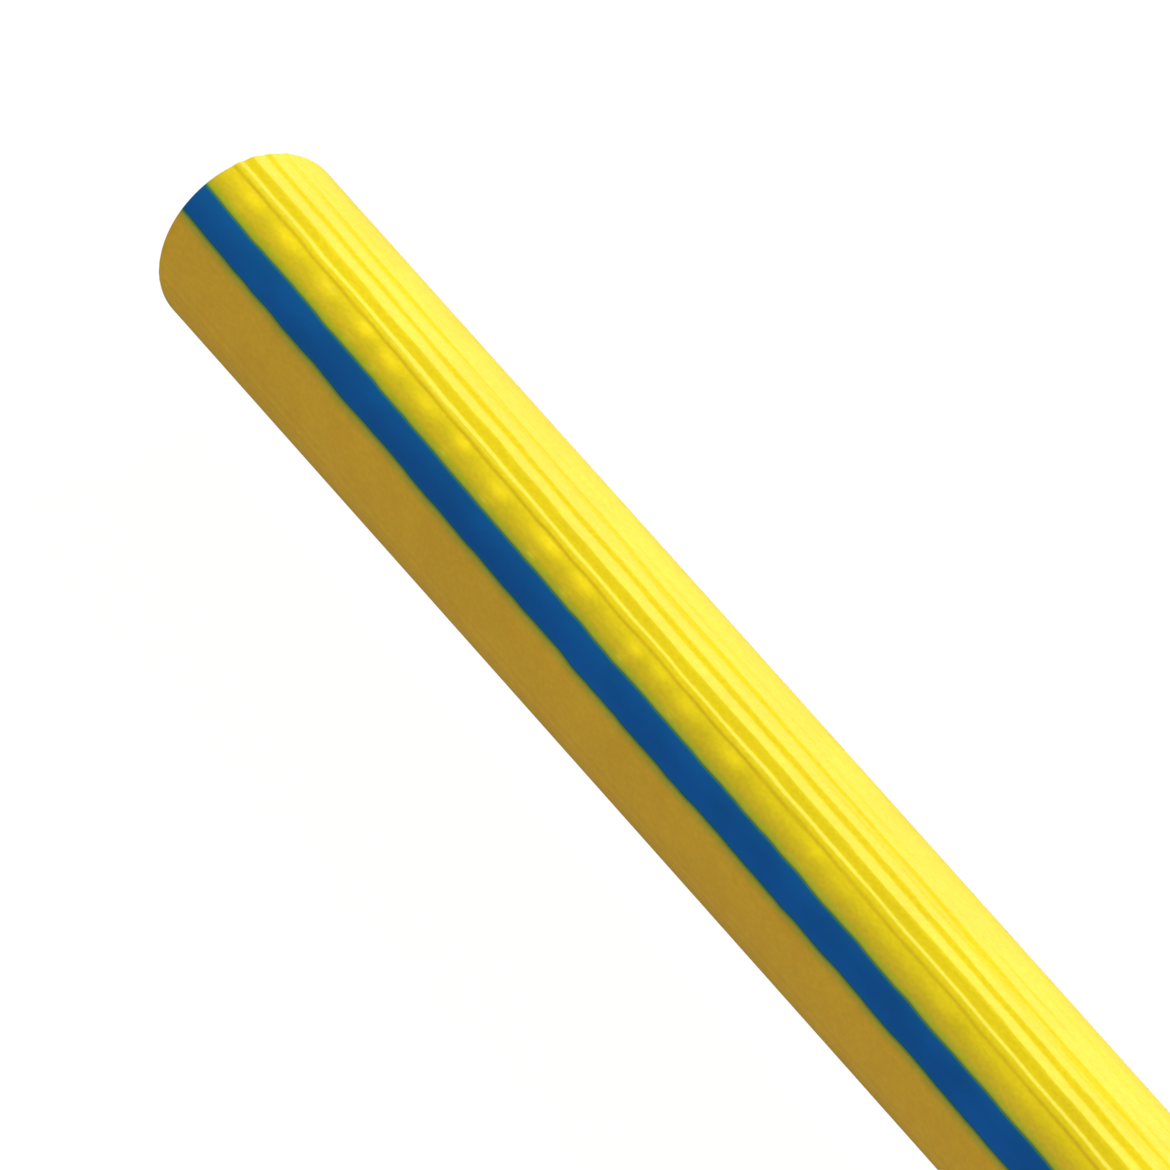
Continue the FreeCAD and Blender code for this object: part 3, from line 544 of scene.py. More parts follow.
END_VINYL = vinyl("end_disc_vinyl", yellow, 0.40, 0.30)
MATERIALS = {
    "skin": vinyl("yellow_vinyl", skin_colour, 0.40, 0.15),
    "stripe": vinyl("blue_vinyl", stripe_colour, 0.46, 0.10),
    "patch": new_material(
        "patch_vinyl", yellow, (0.36, 0.05, 90), welded_grain, 0.10, 0.4,
        specular_ior_level=0.35, coat_weight=0.10, coat_roughness=0.2,
    ),
    "foam": new_material(
        "closed_cell_foam", blotched(FOAM_WHITE, 60, 4, 0.85, 1.05), 0.85, foam_cells, 0.25, 0.5,
    ),
    "webbing": new_material(
        "black_webbing", webbing_colour, (0.62, 0.08, 300), webbing_weave, 0.22, 0.8,
        sheen_weight=0.35, sheen_roughness=0.4,
    ),
    "thread": new_material(
        "bonded_thread", blotched(THREAD_WHITE, 400, 3, 0.8, 1.08), 0.55, thread_twist, 0.12, 0.6,
        sheen_weight=0.2,
    ),
    "ring_steel": steel("polished_steel", (0.74, 0.75, 0.76), 0.20, 700),
    "hook_steel": steel("satin_steel", (0.66, 0.66, 0.67), 0.34, 420),
    "spring_steel": steel("spring_wire", (0.50, 0.50, 0.51), 0.28, 900),
    "rope": new_material("laid_rope", rope_colour, 0.70, rope_yarns, 0.22, 0.7, sheen_weight=0.3),
    "ferrule": steel("crimped_aluminium", (0.78, 0.79, 0.80), 0.40, 500),
    "thimble": moulded("nylon_thimble", (0.030, 0.030, 0.033), 0.45),
    "slider": moulded("acetal_slider", (0.020, 0.020, 0.022), 0.38),
    "pad": new_material(
        "pad_cordura", cordura_colour, (0.75, 0.06, 220), cordura_weave, 0.25, 0.8,
        sheen_weight=0.4, sheen_roughness=0.5,
    ),
}

# ---- skin and stripe

STRIPE_START = math.radians(-38.8)
STRIPE_TURN_PER_M = math.radians(-12.4)
STRIPE_SWAY = math.radians(-0.7)
STRIPE_SWAY_LENGTH = 1.167
STRIPE_SWAY_FROM = 0.136
STRIPE_HALF = math.radians(9.55)

# Ridges the skin's folds make along the tube, with its welded seam at 181 to 189 degrees: angle from the
# stripe and half width in degrees, height in mm, and how square the ridge is.
RIDGES = [
    (31.75, 2.6, 0.46, 4),
    (41.9, 3.8, 0.85, 2),
    (52.2, 2.8, 0.46, 2),
    (64.0, 2.8, 0.36, 2),
    (72.6, 3.2, 0.15, 2),
    (84.5, 3.8, 0.15, 2),
    (95.0, 2.8, 0.16, 2),
    (104.0, 3.4, 0.18, 2),
    (118.0, 4.2, 0.24, 2),
    (150.0, 7.0, 0.28, 2),
    (181.0, 0.8, -0.30, 2),
    (185.0, 3.4, 0.22, 4),
    (189.0, 0.8, -0.30, 2),
    (210.0, 8.5, 0.28, 2),
    (262.0, 4.2, 0.20, 2),
    (302.5, 1.7, 0.14, 2),
    (307.5, 2.2, 0.20, 2),
    (315.0, 1.7, 0.12, 2),
]
# Points round the skin, closest over the ridges: start, end and step in degrees from the stripe's middle.
SKIN_STEPS = [
    (13, 26.5, 0.8),
    (26.5, 36, 0.38),
    (36, 110, 0.8),
    (110, 178, 3.4),
    (178, 192, 0.4),
    (192, 255, 3.5),
    (255, 294, 2.0),
    (294, 318, 0.6),
    (318, 345, 2.2),
]
# Puckers beside the first ridge, as distances from the far rim, and the strength of each.
PUCKERS = [
    (0.037, 0.9), (0.081, 0.8), (0.136, 0.6), (0.185, 1.0), (0.219, 0.9), (0.266, 0.7), (0.313, 1.0),
    (0.366, 1.1), (0.427, 1.2), (0.471, 1.0), (0.543, 1.0), (0.570, 0.5), (0.607, 0.7), (0.666, 0.8),
    (0.772, 0.6), (0.938, 0.4),
]
PUCKER_MIDDLE = 23.0
PUCKER_SPOT = 13.8
CREASE_AT = 28.6
CREASE_SCALLOP = 1.1
CREASE_REACH = 12 * MM
# Millimetres of fall for each degree round the tube that count as leaning fully to one side, fully towards the sun
# or fully away from it: the lean paints light and shade on the ridges' flanks.
FULL_LEAN = 0.14
RIM_ROLL = 1.6 * MM
RIM_DROP = 0.9 * MM


def wander(along, seed, length):
    """Smooth seeded noise along the tube, about -1 to 1."""
    values = [noise.noise((s / length, seed * 7.3, 0.5)) for s in np.ravel(along)]
    return np.reshape(values, np.shape(along))


def stripe_middle(along):
    """Angle of the stripe's middle from the top towards +Y."""
    sway = STRIPE_SWAY * np.sin(FULL_TURN * (along - STRIPE_SWAY_FROM) / STRIPE_SWAY_LENGTH)
    return STRIPE_START + STRIPE_TURN_PER_M * along + sway


def stripe_half(along, side):
    """Angle from the stripe's middle to one of its slightly ragged edges."""
    ragged = 0.75 * wander(along, 3 + side, 0.045) + 0.45 * wander(along, 8 + side, 0.016)
    return STRIPE_HALF + np.radians(ragged)


def folds(angle, along):
    """Height of the long ridges, at angles in degrees from the stripe's middle."""
    height = np.zeros(np.broadcast(angle, along).shape)
    for number, (middle, half, top, square) in enumerate(RIDGES):
        shift = 0.55 * wander(along, 20 + number, 0.11) + 0.50 * wander(along, 50 + number, 0.032)
        swell = 1 + 0.30 * wander(along, 80 + number, 0.16)
        height = height + top * swell * np.exp(-(np.abs((angle - middle - shift) / half) ** square))
    return height


def blob(angle, along, middle, at, wide, long):
    return np.exp(-((((along - at) / long) ** 2) + ((angle - middle) / wide) ** 2) / 2)


def gleams(angle, along):
    """Patches of the puckers that catch the light, with a spot beside the strongest and every other one. They
    shape the puckers, and the skin's colour paints them as a highlight.
    """
    total = 0 * angle * along
    for number, (at, strength) in enumerate(PUCKERS):
        lean = 1.2 * math.sin(number * 2.4)
        long = (8.5 + 2.5 * math.sin(number * 1.7)) * MM
        total = total + strength * blob(angle, along, PUCKER_MIDDLE + lean, at, 2.1, long)
        total = total - 0.35 * blob(angle, along, PUCKER_MIDDLE - 1, at + 2.3 * long, 3.0, long)
        if number % 2 == 0 or strength > 0.9:
            total = total + 0.9 * strength * blob(angle, along, PUCKER_SPOT, at - 3 * MM, 0.9, 3.4 * MM)
    return total


def puckers(angle, along):
    """Height of the short creases between the stripe and the first ridge."""
    return 0.10 * wander(along, 5, 0.05) * bump_at(angle, 19, 8) + 0.42 * gleams(angle - 1.2, along)


def creases(angle, along):
    """Painted shade along the foot of the first ridge, scalloped by the puckers."""
    near = sum(blob(0, along, 0, at, 1, CREASE_REACH) for at, _ in PUCKERS)
    middle = CREASE_AT + CREASE_SCALLOP * np.minimum(near, 1) + 0.25 * wander(along, 31, 0.02)
    depth = 0.8 + 0.4 * wander(along, 33, 0.04)
    return np.clip(depth, 0, 1) * bump_at(angle, middle, 0.85)


def rim_drop(along):
    """How far the surface rolls inwards at each rim."""
    near = np.minimum(along, TUBE_LENGTH - along)
    return RIM_DROP / RIM_ROLL * rounded_edge(near, RIM_ROLL)


def row_places():
    """Rows of points along the tube, close together where the puckers are."""
    ends = np.array([0, 0.25, 0.6, 1.1, 1.7, 3.0]) * MM
    fine = np.arange(6, 740, 3.5) * MM
    coarse = np.arange(745, TUBE_LENGTH / MM - 8, 9.0) * MM
    return np.concatenate([ends, fine, coarse, TUBE_LENGTH - ends[::-1]])


def round_tube(rows, angles, radius):
    """Points at places along the tube and angles round it, from the top towards +Y."""
    x = FAR_RIM + rows + 0 * angles
    return np.stack([x, radius * np.sin(angles), radius * np.cos(angles)], axis=-1)


def shell(name, shares, inner_count, edges):
    """A strip of the skin between two edges, with its full thickness. Shares run from 0 at the first edge to
    1 at the second, and edges gives the angles of both for places along the tube."""
    rows = row_places()[:, None]
    low, high = edges(rows)
    outer = low + (high - low) * shares[None, :]
    inner = low + (high - low) * np.linspace(1, 0, inner_count)[None, :]
    degrees = np.degrees(outer)
    radius = TUBE_RADIUS + (folds(degrees, rows) + puckers(degrees, rows)) * MM - rim_drop(rows)
    top = round_tube(rows, outer + stripe_middle(rows), radius)
    under = round_tube(rows, inner + stripe_middle(rows), CORE_RADIUS)
    piece = surface(name, [np.concatenate([top, under], axis=1)])

    nearby = 0.5
    fall = (folds(degrees - nearby, rows) - folds(degrees + nearby, rows)) / (2 * nearby)
    to_edge = np.minimum(outer - low, high - outer) * TUBE_RADIUS
    # Values the skin's material reads: the distance from the stripe, and the lean, gleam and crease that it paints
    # as light and shade.
    for looks, outside, inside in (
        ("from_stripe", to_edge, TUBE_RADIUS),
        ("lean", np.clip(fall / FULL_LEAN, -1, 1), 0),
        ("gleam", gleams(degrees, rows), 0),
        ("crease", creases(degrees, rows), 0),
    ):
        add_values(piece, looks, np.concatenate([outside, inside + 0 * inner], axis=1))
    return piece


def build_skin():
    def stripe_edges(along):
        return -stripe_half(along, 0), stripe_half(along, 1)

    def skin_edges(along):
        return stripe_half(along, 1), FULL_TURN - stripe_half(along, 0)

    first = math.degrees(STRIPE_HALF)
    last = 360 - first
    steps = [(first, 13, 0.7), *SKIN_STEPS, (345, last, 0.9)]
    angles = np.concatenate([np.arange(*step) for step in steps] + [[last]])
    stands_for(shell("vinyl_skin_sheet", (angles - first) / (last - first), 48, skin_edges), "vinyl_skin")
    stands_for(shell("blue_stripe_sheet", np.linspace(0, 1, 27), 6, stripe_edges), "blue_stripe")


# ---- ends of the float

PATCH_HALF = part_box("near_strap_patch")[1].yz
PATCH_ROUND = 8 * MM
# The webbing's slot: half its width, half its height and the radius of its corners.
SLOT = (20 * MM, 3 * MM, 0.8 * MM)


def rounded_reach(angles, half_wide, half_high, corner):
    """Distance from the centre to a round-cornered rectangle's edge, at angles from its wide axis."""
    c, s = np.abs(np.cos(angles)), np.abs(np.sin(angles))
    reach = np.minimum(half_wide / np.maximum(c, 1e-9), half_high / np.maximum(s, 1e-9))
    a, b = half_wide - corner, half_high - corner
    in_corner = (reach * c > a) & (reach * s > b)
    middle = c * a + s * b
    round_reach = middle + np.sqrt(np.maximum(middle**2 - (a * a + b * b - corner * corner), 0))
    return np.where(in_corner, round_reach, reach)


def outside_rounded(across, up, half_wide, half_high, corner):
    """Distance outwards from a round-cornered rectangle, negative inside it."""
    a, b = np.abs(across) - half_wide + corner, np.abs(up) - half_high + corner
    return np.hypot(np.maximum(a, 0), np.maximum(b, 0)) + np.minimum(np.maximum(a, b), 0) - corner


def plate(name, cad_node, rim, thick, height, material):
    """A slotted plate on one end of the float. Rim gives its reach at each angle, and height the shape of
    its face from points across and up and their distance from the slot."""
    low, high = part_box(cad_node)
    outward = 1 if low.x > 0 else -1
    back = low.x if outward > 0 else high.x
    fine = np.linspace(0, FULL_TURN, 240, endpoint=False)
    corners = np.arctan2(SLOT[1], SLOT[0]) * np.array([0.9, 1, 1.1])
    corners = np.concatenate([corners, math.pi - corners, math.pi + corners, FULL_TURN - corners])
    angles = np.sort(np.concatenate([fine, corners]))
    inside, outside = rounded_reach(angles, *SLOT), rim(angles)
    shares = (1 - np.cos(np.linspace(math.pi, 0, 64))) / 2
    rows = []
    for share, raised in [(0, 0), (1, 0)] + [(share, 1) for share in shares]:
        reach = inside + (outside - inside) * share
        across, up = reach * np.cos(angles), reach * np.sin(angles)
        face = np.maximum(thick + height(across, up, outside_rounded(across, up, *SLOT)), 0.2 * MM)
        rows.append(np.stack([back + outward * raised * face, across, up], axis=1))
    piece = surface(name, [np.array(rows)], closed_rows=True)
    piece.data.materials.append(material)
    stands_for(piece, cad_node)


def disc_face(across, up, from_slot):
    """A flat vinyl disc with a raised weld just inside its rim and small radial creases inside the weld."""
    from_rim = CORE_RADIUS - np.hypot(across, up)
    angles = np.arctan2(up, across)
    weld = 0.45 * bump_at(from_rim, 3.2 * MM, 0.9 * MM) * (1 + 0.15 * np.sin(96 * angles))
    radial = 0.10 * np.sin(37 * angles + 2 * np.sin(3 * angles)) * bump_at(from_rim, 8 * MM, 3 * MM)
    return (weld + radial) * MM - rounded_edge(from_rim, 0.6 * MM) - rounded_edge(from_slot, 0.3 * MM)


def patch_face(across, up, from_slot):
    """A patch with two welded grooves round it and a raised lip round its slot."""
    from_rim = -outside_rounded(across, up, *PATCH_HALF, PATCH_ROUND)
    grooves = bump_at(from_rim, 2.4 * MM, 0.7 * MM) + bump_at(from_rim, 5.0 * MM, 0.7 * MM)
    lip = bump_at(from_slot, 1.4 * MM, 0.8 * MM)
    worn = rounded_edge(from_rim, 0.8 * MM) + rounded_edge(from_slot, 0.4 * MM)
    return 0.35 * (lip - grooves) * MM - worn


def build_ends():
    def disc_rim(angles):
        return np.full(len(angles), CORE_RADIUS)

    def patch_rim(angles):
        return rounded_reach(angles, *PATCH_HALF, PATCH_ROUND)

    for end in ("far", "near"):
        disc, patch = f"{end}_end_disc", f"{end}_strap_patch"
        plate(f"{disc}_sheet", disc, disc_rim, 2.0 * MM, disc_face, END_VINYL)
        plate(f"{end}_patch_sheet", patch, patch_rim, 1.5 * MM, patch_face, MATERIALS["patch"])


def sleeve_dents(points, normals):
    """The foam, lightly dented by the sleeve round it."""
    depth = [0.25 * noise.noise(point / (22 * MM)) - 0.25 for point in map(Vector, points)]
    return normals * (np.array(depth) * MM)[:, None]


# ---- webbing

WEB_THICK = 2 * MM
BAR_LOOP = 2.9 * MM + WEB_THICK / 2
WEB_TAPER = 14 * MM
CORE_WEB_WIDE = 38 * MM
CORE_WEB_TAIL = 540 * MM
CORE_WEB_SHOWN = 610 * MM
# Steps between the webbing's points: hidden in the core, in view, and round a bar.
HIDDEN_STEP, SHOWN_STEP, LOOP_STEP = 8 * MM, 1 * MM, 0.6 * MM


def band(name, path, across, wide, cad_node, seed):
    """Webbing along a path, its edges round and its faces a little uneven."""
    normals = np.cross(unit(np.gradient(path, axis=0)), np.array(across))
    radius = WEB_THICK / 2
    flat = wide / 2 - radius
    edge = np.linspace(-math.pi / 2, math.pi / 2, 6)
    right = [(flat + radius * math.cos(a), radius * math.sin(a)) for a in edge]
    top = [(w, radius) for w in np.linspace(flat, -flat, 16)[1:-1]]
    w, n = np.array(right + top + [(-w, -n) for w, n in right + top]).T
    run = distances(path)
    uneven = np.array([0.10 * MM * noise.noise((s / (16 * MM), seed, 0.3)) for s in run])[:, None]
    weft = 0.12 * MM * np.sin(FULL_TURN * run / WEB_RIB)[:, None]
    sideways = w + np.copysign(weft, w) * (np.abs(w) > flat)
    upwards = normals[:, None] * (n + uneven)[..., None]
    grid = path[:, None] + np.array(across) * sideways[..., None] + upwards
    stands_for(surface(name, [grid]), cad_node)


def arc_points(centre, radius, first, last, step):
    """Points (x, y) round a centre from one angle to another, in degrees."""
    count = max(3, int(abs(math.radians(last - first)) * radius / step))
    angles = np.radians(np.linspace(first, last, count))
    return [(centre[0] + radius * math.cos(a), centre[1] + radius * math.sin(a)) for a in angles]


def line_points(start, end, step):
    count = max(2, int(math.dist(start, end) / step) + 1)
    return [tuple(point) for point in np.linspace(start, end, count)]


def without_repeats(points):
    kept = [points[0]]
    for point in points[1:]:
        if math.dist(point, kept[-1]) > 0.05 * MM:
            kept.append(point)
    return np.array(kept)


def taper_points(start_x, end_x, side):
    """From one layer of the webbing at start_x out to its loop round a bar at end_x."""
    x = np.linspace(start_x, end_x, 14)
    open_up = smooth_step(np.abs(x - start_x), 0, abs(end_x - start_x))
    return [(a, side * (WEB_THICK / 2 + (BAR_LOOP - WEB_THICK / 2) * b)) for a, b in zip(x, open_up)]


def webbing_end(bar, outward):
    """From the webbing's tail in the core out to a bar, round it and back to where the core hides it."""
    half = WEB_THICK / 2
    tail, shown = outward * CORE_WEB_TAIL, outward * CORE_WEB_SHOWN
    taper = bar - outward * WEB_TAPER
    points = line_points((tail, -half), (shown, -half), HIDDEN_STEP)
    points += line_points((shown, -half), (taper, -half), SHOWN_STEP)
    points += taper_points(taper, bar, -1)
    points += arc_points((bar, 0), BAR_LOOP, -90, -90 + outward * 180, LOOP_STEP)
    points += taper_points(taper, bar, 1)[::-1]
    return points + line_points((taper, half), (shown, half), SHOWN_STEP)


def build_core_webbing():
    """One length: under the near end, round its bar, right through the core, and round the far bar."""
    near = webbing_end(JOINTS["near_ring_swing"]["pos_m"][0], 1)
    far = webbing_end(JOINTS["far_ring_swing"]["pos_m"][0], -1)[::-1]
    path = without_repeats(near + line_points(near[-1], far[0], HIDDEN_STEP) + far)
    path = np.stack([path[:, 0], np.zeros(len(path)), path[:, 1]], axis=1)
    band("core_webbing_band", path, Y, CORE_WEB_WIDE, "core_webbing", 1.0)


STITCH = (2.6 * MM, 0.9 * MM, 0.7 * MM)
STITCH_STEP = 3.2 * MM


def build_core_tacks():
    for end in ("far", "near"):
        low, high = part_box(f"{end}_bar_tack")
        rows = np.linspace(low.x + 0.8 * MM, high.x - 0.8 * MM, 4)
        places = np.arange(low.y + STITCH_STEP / 2, high.y, STITCH_STEP)
        spots = [(x, y, face) for x in rows for y in places for face in (WEB_THICK, -WEB_THICK)]
        grids = [stitch(spot, Y, X, *STITCH) for spot in spots]
        stands_for(surface(f"{end}_bar_stitches", grids), f"{end}_bar_tack")


# ---- rings and snap hook

HOOK_AT = np.array(JOINTS["hook_eye_swing"]["pos_m"])
HOOK_AXIS = np.array(JOINTS["hook_swivel"]["axis"])
HOOK_UP = np.cross(HOOK_AXIS, np.array(Y))
GRIP_FROM, GRIP_TO = 46 * MM, 57 * MM
GRIP_PITCH = 2.2 * MM
COLLAR_AT = 30 * MM
COLLAR_INSIDE = 7.0 * MM


def hook_places(points):
    """Along the hook from the ring's wire, sideways towards the gate, and up."""
    away = points - HOOK_AT
    return away @ HOOK_AXIS, away[:, 1], away @ HOOK_UP


def bead(axis):
    """The bead where a ring's wire was welded, halfway along one axis."""
    def raised(points, normals):
        along = points[:, axis]
        middle = (along.max() + along.min()) / 2
        return normals * (0.22 * MM * bump_at(along, middle, 1.3 * MM))[:, None]
    return raised


def gate_grip(points, normals):
    """Grooves across the thumb's place on the gate."""
    along, side, _ = hook_places(points)
    grip = smooth_step(along, GRIP_FROM - MM, GRIP_FROM + MM)
    grip = grip * smooth_step(along, GRIP_TO + MM, GRIP_TO - MM)
    outside = smooth_step(side, 12.4 * MM, 13.2 * MM)
    groove = 0.5 - 0.5 * np.cos(FULL_TURN * along / GRIP_PITCH)
    return np.array(-Y) * (0.40 * MM * grip * outside * groove)[:, None]


def parting_line(points, normals):
    """The fine rib a casting keeps where its mould parted, and a collar groove round the barrel."""
    along, side, up = hook_places(points)
    on_barrel = np.hypot(side, up) > COLLAR_INSIDE
    groove = 0.35 * bump_at(along, COLLAR_AT, 0.5 * MM) * on_barrel
    return normals * ((0.13 * bump_at(up, 0, 0.45 * MM) - groove) * MM)[:, None]


# ---- tow line

STRAP_AT = Vector(JOINTS["strap_swing"]["pos_m"])
PAIR_HALF = 4.15 * MM
# The line's length inside a ferrule and its two short ends outside.
THROUGH_FERRULE = 22 * MM + 2 * 2 * MM
NECK_EYE = 6.8 * MM
NECK_FLAT = 38.6 * MM
NECK_PAST = 17 * MM
NECK_OUT = 8 * MM
DROP_START = 12 * MM
FLAKE_GAP = 32 * MM
FLAKE_LEFT = 350 * MM
FLOOR_BEND = 40 * MM
THIMBLE_EYE = 15 * MM
EYE_SLANT = 30
THIMBLE_SLANT = 45
DROP_SLANT = 60
ROPE_LAY = 27 * MM
# Places of a ferrule's crimps as shares of its length, and how far they are pressed in.
CRIMPS_AT = (0.28, 0.72)
CRIMP_DEPTH = 0.11


class Trail:
    """A line of straight runs and round bends, each starting where and the way the last one ended."""

    def __init__(self, start, heading):
        self.points = [Vector(start)]
        self.heading = Vector(heading)

    @property
    def end(self):
        return self.points[-1]

    def straight(self, length):
        if length:
            count = max(1, round(length / (2 * MM)))
            start = self.end
            self.points += [start + self.heading * (length * i / count) for i in range(1, count + 1)]

    def bend(self, radius, degrees, about):
        """Turns by the right-hand rule about an axis."""
        start = self.end
        centre = start + about.cross(self.heading) * math.copysign(radius, degrees)
        count = max(3, round(abs(math.radians(degrees)) * radius / (1.6 * MM)))
        for i in range(1, count + 1):
            turn = Matrix.Rotation(math.radians(degrees * i / count), 3, about)
            self.points.append(centre + turn @ (start - centre))
        self.heading = Matrix.Rotation(math.radians(degrees), 3, about) @ self.heading

    def sidestep(self, shift, degrees, about):
        """Two bends that cancel, so the trail moves to its left, seen down the axis."""
        radius = abs(shift) / 2 / (1 - math.cos(math.radians(degrees)))
        turn = math.copysign(degrees, shift)
        self.bend(radius, turn, about)
        self.bend(radius, -turn, about)

    def eye(self, radius, flat, slant, about):
        """Through a ferrule, out, round the end and back through the ferrule."""
        self.straight(THROUGH_FERRULE)
        self.sidestep(radius - PAIR_HALF, slant, about)
        self.straight(flat)
        self.bend(radius, -180, about)
        self.straight(flat)
        self.sidestep(PAIR_HALF - radius, slant, about)
        self.straight(THROUGH_FERRULE)


def sidestep_length(shift, degrees):
    return shift / math.tan(math.radians(degrees / 2))


def eye_reach(radius, flat, slant):
    """From the line's end outside the ferrule to the centre of the eye's round end."""
    return THROUGH_FERRULE + sidestep_length(radius - PAIR_HALF, slant) + flat


def tow_line_path():
    """From an eye round the core webbing, down to the floor, through four flakes and up to the thimble."""
    flake_y = STRAP_AT.y + 3 * FLAKE_GAP + PAIR_HALF
    rope_z = LINE_Z + ROPE_RADIUS
    neck_y = NECK_PAST - eye_reach(NECK_EYE, NECK_FLAT, EYE_SLANT)
    line = Trail((NEAR_RIM + NECK_OUT, neck_y, PAIR_HALF), Y)
    line.eye(NECK_EYE, NECK_FLAT, EYE_SLANT, X)
    line.straight(DROP_START)
    line.sidestep(line.end.z - rope_z, DROP_SLANT, X)
    line.straight(line.end.y - flake_y - FLOOR_BEND)
    line.bend(FLOOR_BEND, -90, Z)
    right = line.end.x
    for back in (180, -180, 180):
        line.straight(right - FLAKE_LEFT)
        line.bend(FLAKE_GAP / 2, back, Z)
    rise = STRAP_AT.z - rope_z
    reach = eye_reach(THIMBLE_EYE, 0, THIMBLE_SLANT)
    line.straight(STRAP_AT.x - reach - sidestep_length(rise, EYE_SLANT) - FLAKE_LEFT)
    line.sidestep(-rise, EYE_SLANT, Y)
    line.eye(THIMBLE_EYE, 0, THIMBLE_SLANT, Z)
    return np.array([tuple(point) for point in line.points])


def carried_frames(path):
    """Two sideways directions at each point of a path, carried along it without twisting."""
    ways = unit(np.gradient(path, axis=0))
    side = np.cross(ways[0], (0.3, 0.2, 1.0))
    sides = []
    for way in ways:
        side = unit(side - way * np.dot(side, way))
        sides.append(side)
    return np.array(sides), np.cross(ways, sides)


def build_tow_line():
    """Three strands laid round each other, their ends melted small."""
    path = tow_line_path()
    sides, ups = carried_frames(path)
    run = distances(path)[:, None]
    offset = ROPE_RADIUS - STRAND_RADIUS
    around = np.linspace(0, FULL_TURN, 12, endpoint=False)
    melted = 1 - 0.35 * np.exp(-np.minimum(run, run[-1] - run) / (0.8 * MM))
    grids = []
    for strand in range(3):
        turn = FULL_TURN * (strand / 3 + run / ROPE_LAY)
        a = melted * (offset * np.cos(turn) + STRAND_RADIUS * np.cos(around + turn))
        b = melted * (offset * np.sin(turn) + STRAND_RADIUS * np.sin(around + turn))
        grids.append(path[:, None] + sides[:, None] * a[..., None] + ups[:, None] * b[..., None])
    stands_for(surface("tow_line_rope", grids), "tow_line")


def crimps(points, normals):
    """Two pressed bands round each ferrule."""
    split = (NEAR_RIM + STRAP_AT.x) / 2
    shift = 0 * points
    for own, along in ((points[:, 0] < split, 1), (points[:, 0] >= split, 0)):
        part = points[own]
        low, high = part.min(0), part.max(0)
        share = (part[:, along] - low[along]) / (high[along] - low[along])
        pressed = sum(smooth_step(np.abs(share - at), 0.14, 0.09) for at in CRIMPS_AT)
        inwards = (low + high) / 2 - part
        inwards[:, along] = 0
        shift[own] = inwards * (CRIMP_DEPTH * pressed)[:, None]
    return shift


# ---- shoulder strap

STRAP_CENTRE = Vector(MOUNTS["shoulder_loop"]["pos_m"])
STRAP_WAY = (STRAP_CENTRE - STRAP_AT).normalized()
STRAP_SIDE = Z.cross(STRAP_WAY)
STRAP_AXES = np.array([STRAP_WAY, STRAP_SIDE])
STRAP_ROUND = 120 * MM
STRAP_MIDDLE = STRAP_ROUND + WEB_THICK / 2
STRAP_REACH = 255 * MM
LEG_WAY = Vector(JOINTS["slider_slide"]["axis"])
LEG_ANGLE = math.degrees(math.acos(LEG_WAY.dot(STRAP_WAY)))
LEG_OUT = Vector((-LEG_WAY.y, LEG_WAY.x, 0))
STRAP_BAR = STRAP_CENTRE - STRAP_WAY * STRAP_REACH
LAP_FROM, LAP_LONG = 60 * MM, 115 * MM
STRAP_WIDE = 50 * MM
STRAP_STEP = 1.2 * MM
TACK_FROM, TACK_GAP = LAP_FROM + 6.8 * MM, 4 * MM


def leg_point(along, out):
    """A point on the leg with the overlap: along it from the ring, and out from its outer face."""
    return STRAP_BAR + LEG_OUT * (BAR_LOOP + WEB_THICK / 2 + out) + LEG_WAY * along


def leg_place(along, side=1, rise=0):
    """The middle of the webbing on a leg, as (x, y) along the strap and sideways of its thimble."""
    away = leg_point(along, rise - WEB_THICK / 2) - STRAP_AT
    return away.dot(STRAP_WAY), side * away.dot(STRAP_SIDE)


def build_shoulder_webbing():
    """One length: under the overlap, round the ring's bar, round the shoulder and back over the overlap."""
    centre = (STRAP_CENTRE - STRAP_AT).length
    leg_long = STRAP_REACH * math.cos(math.radians(LEG_ANGLE))
    lap_end = LAP_FROM + LAP_LONG
    lift_from, lift_to = lap_end + 3 * MM, lap_end + 15 * MM
    points = line_points(leg_place(lap_end), leg_place(0), STRAP_STEP)
    points += arc_points((centre - STRAP_REACH, 0), BAR_LOOP, 90 + LEG_ANGLE, 270 - LEG_ANGLE, LOOP_STEP)
    points += line_points(leg_place(0, -1), leg_place(leg_long, -1), STRAP_STEP)
    points += arc_points((centre, 0), STRAP_MIDDLE, -90 - LEG_ANGLE, 90 + LEG_ANGLE, 1.5 * MM)
    for along in np.arange(leg_long, LAP_FROM, -STRAP_STEP):
        points.append(leg_place(along, 1, WEB_THICK * smooth_step(along, lift_to, lift_from)))
    path = np.array(STRAP_AT) + without_repeats(points) @ STRAP_AXES
    band("shoulder_webbing_band", path, Z, STRAP_WIDE, "shoulder_webbing", 2.0)


def build_strap_stitches():
    low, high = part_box("strap_bar_tack")
    grids = []
    for along in TACK_FROM + TACK_GAP * np.arange(4):
        for height in np.arange(low.z + STITCH_STEP / 2, high.z, STITCH_STEP):
            for out in (WEB_THICK, -WEB_THICK):
                centre = leg_point(along, out)
                centre.z = height
                grids.append(stitch(centre, Z, LEG_WAY, *STITCH))
    stands_for(surface("strap_tack_stitches", grids), "strap_bar_tack")


def slider_grip(points, normals):
    """Moulded ribs across the outer faces of the slider's bars."""
    away = points - np.array(STRAP_BAR)
    out = away @ np.array(LEG_OUT)
    face = smooth_step(np.abs(out - np.median(out)), 4.4 * MM, 5.2 * MM)
    ribs = 0.5 + 0.5 * np.cos(FULL_TURN * (away @ np.array(LEG_WAY)) / (1.33 * MM))
    return normals * (-0.16 * MM * ribs * face)[:, None]


# ---- shoulder pad

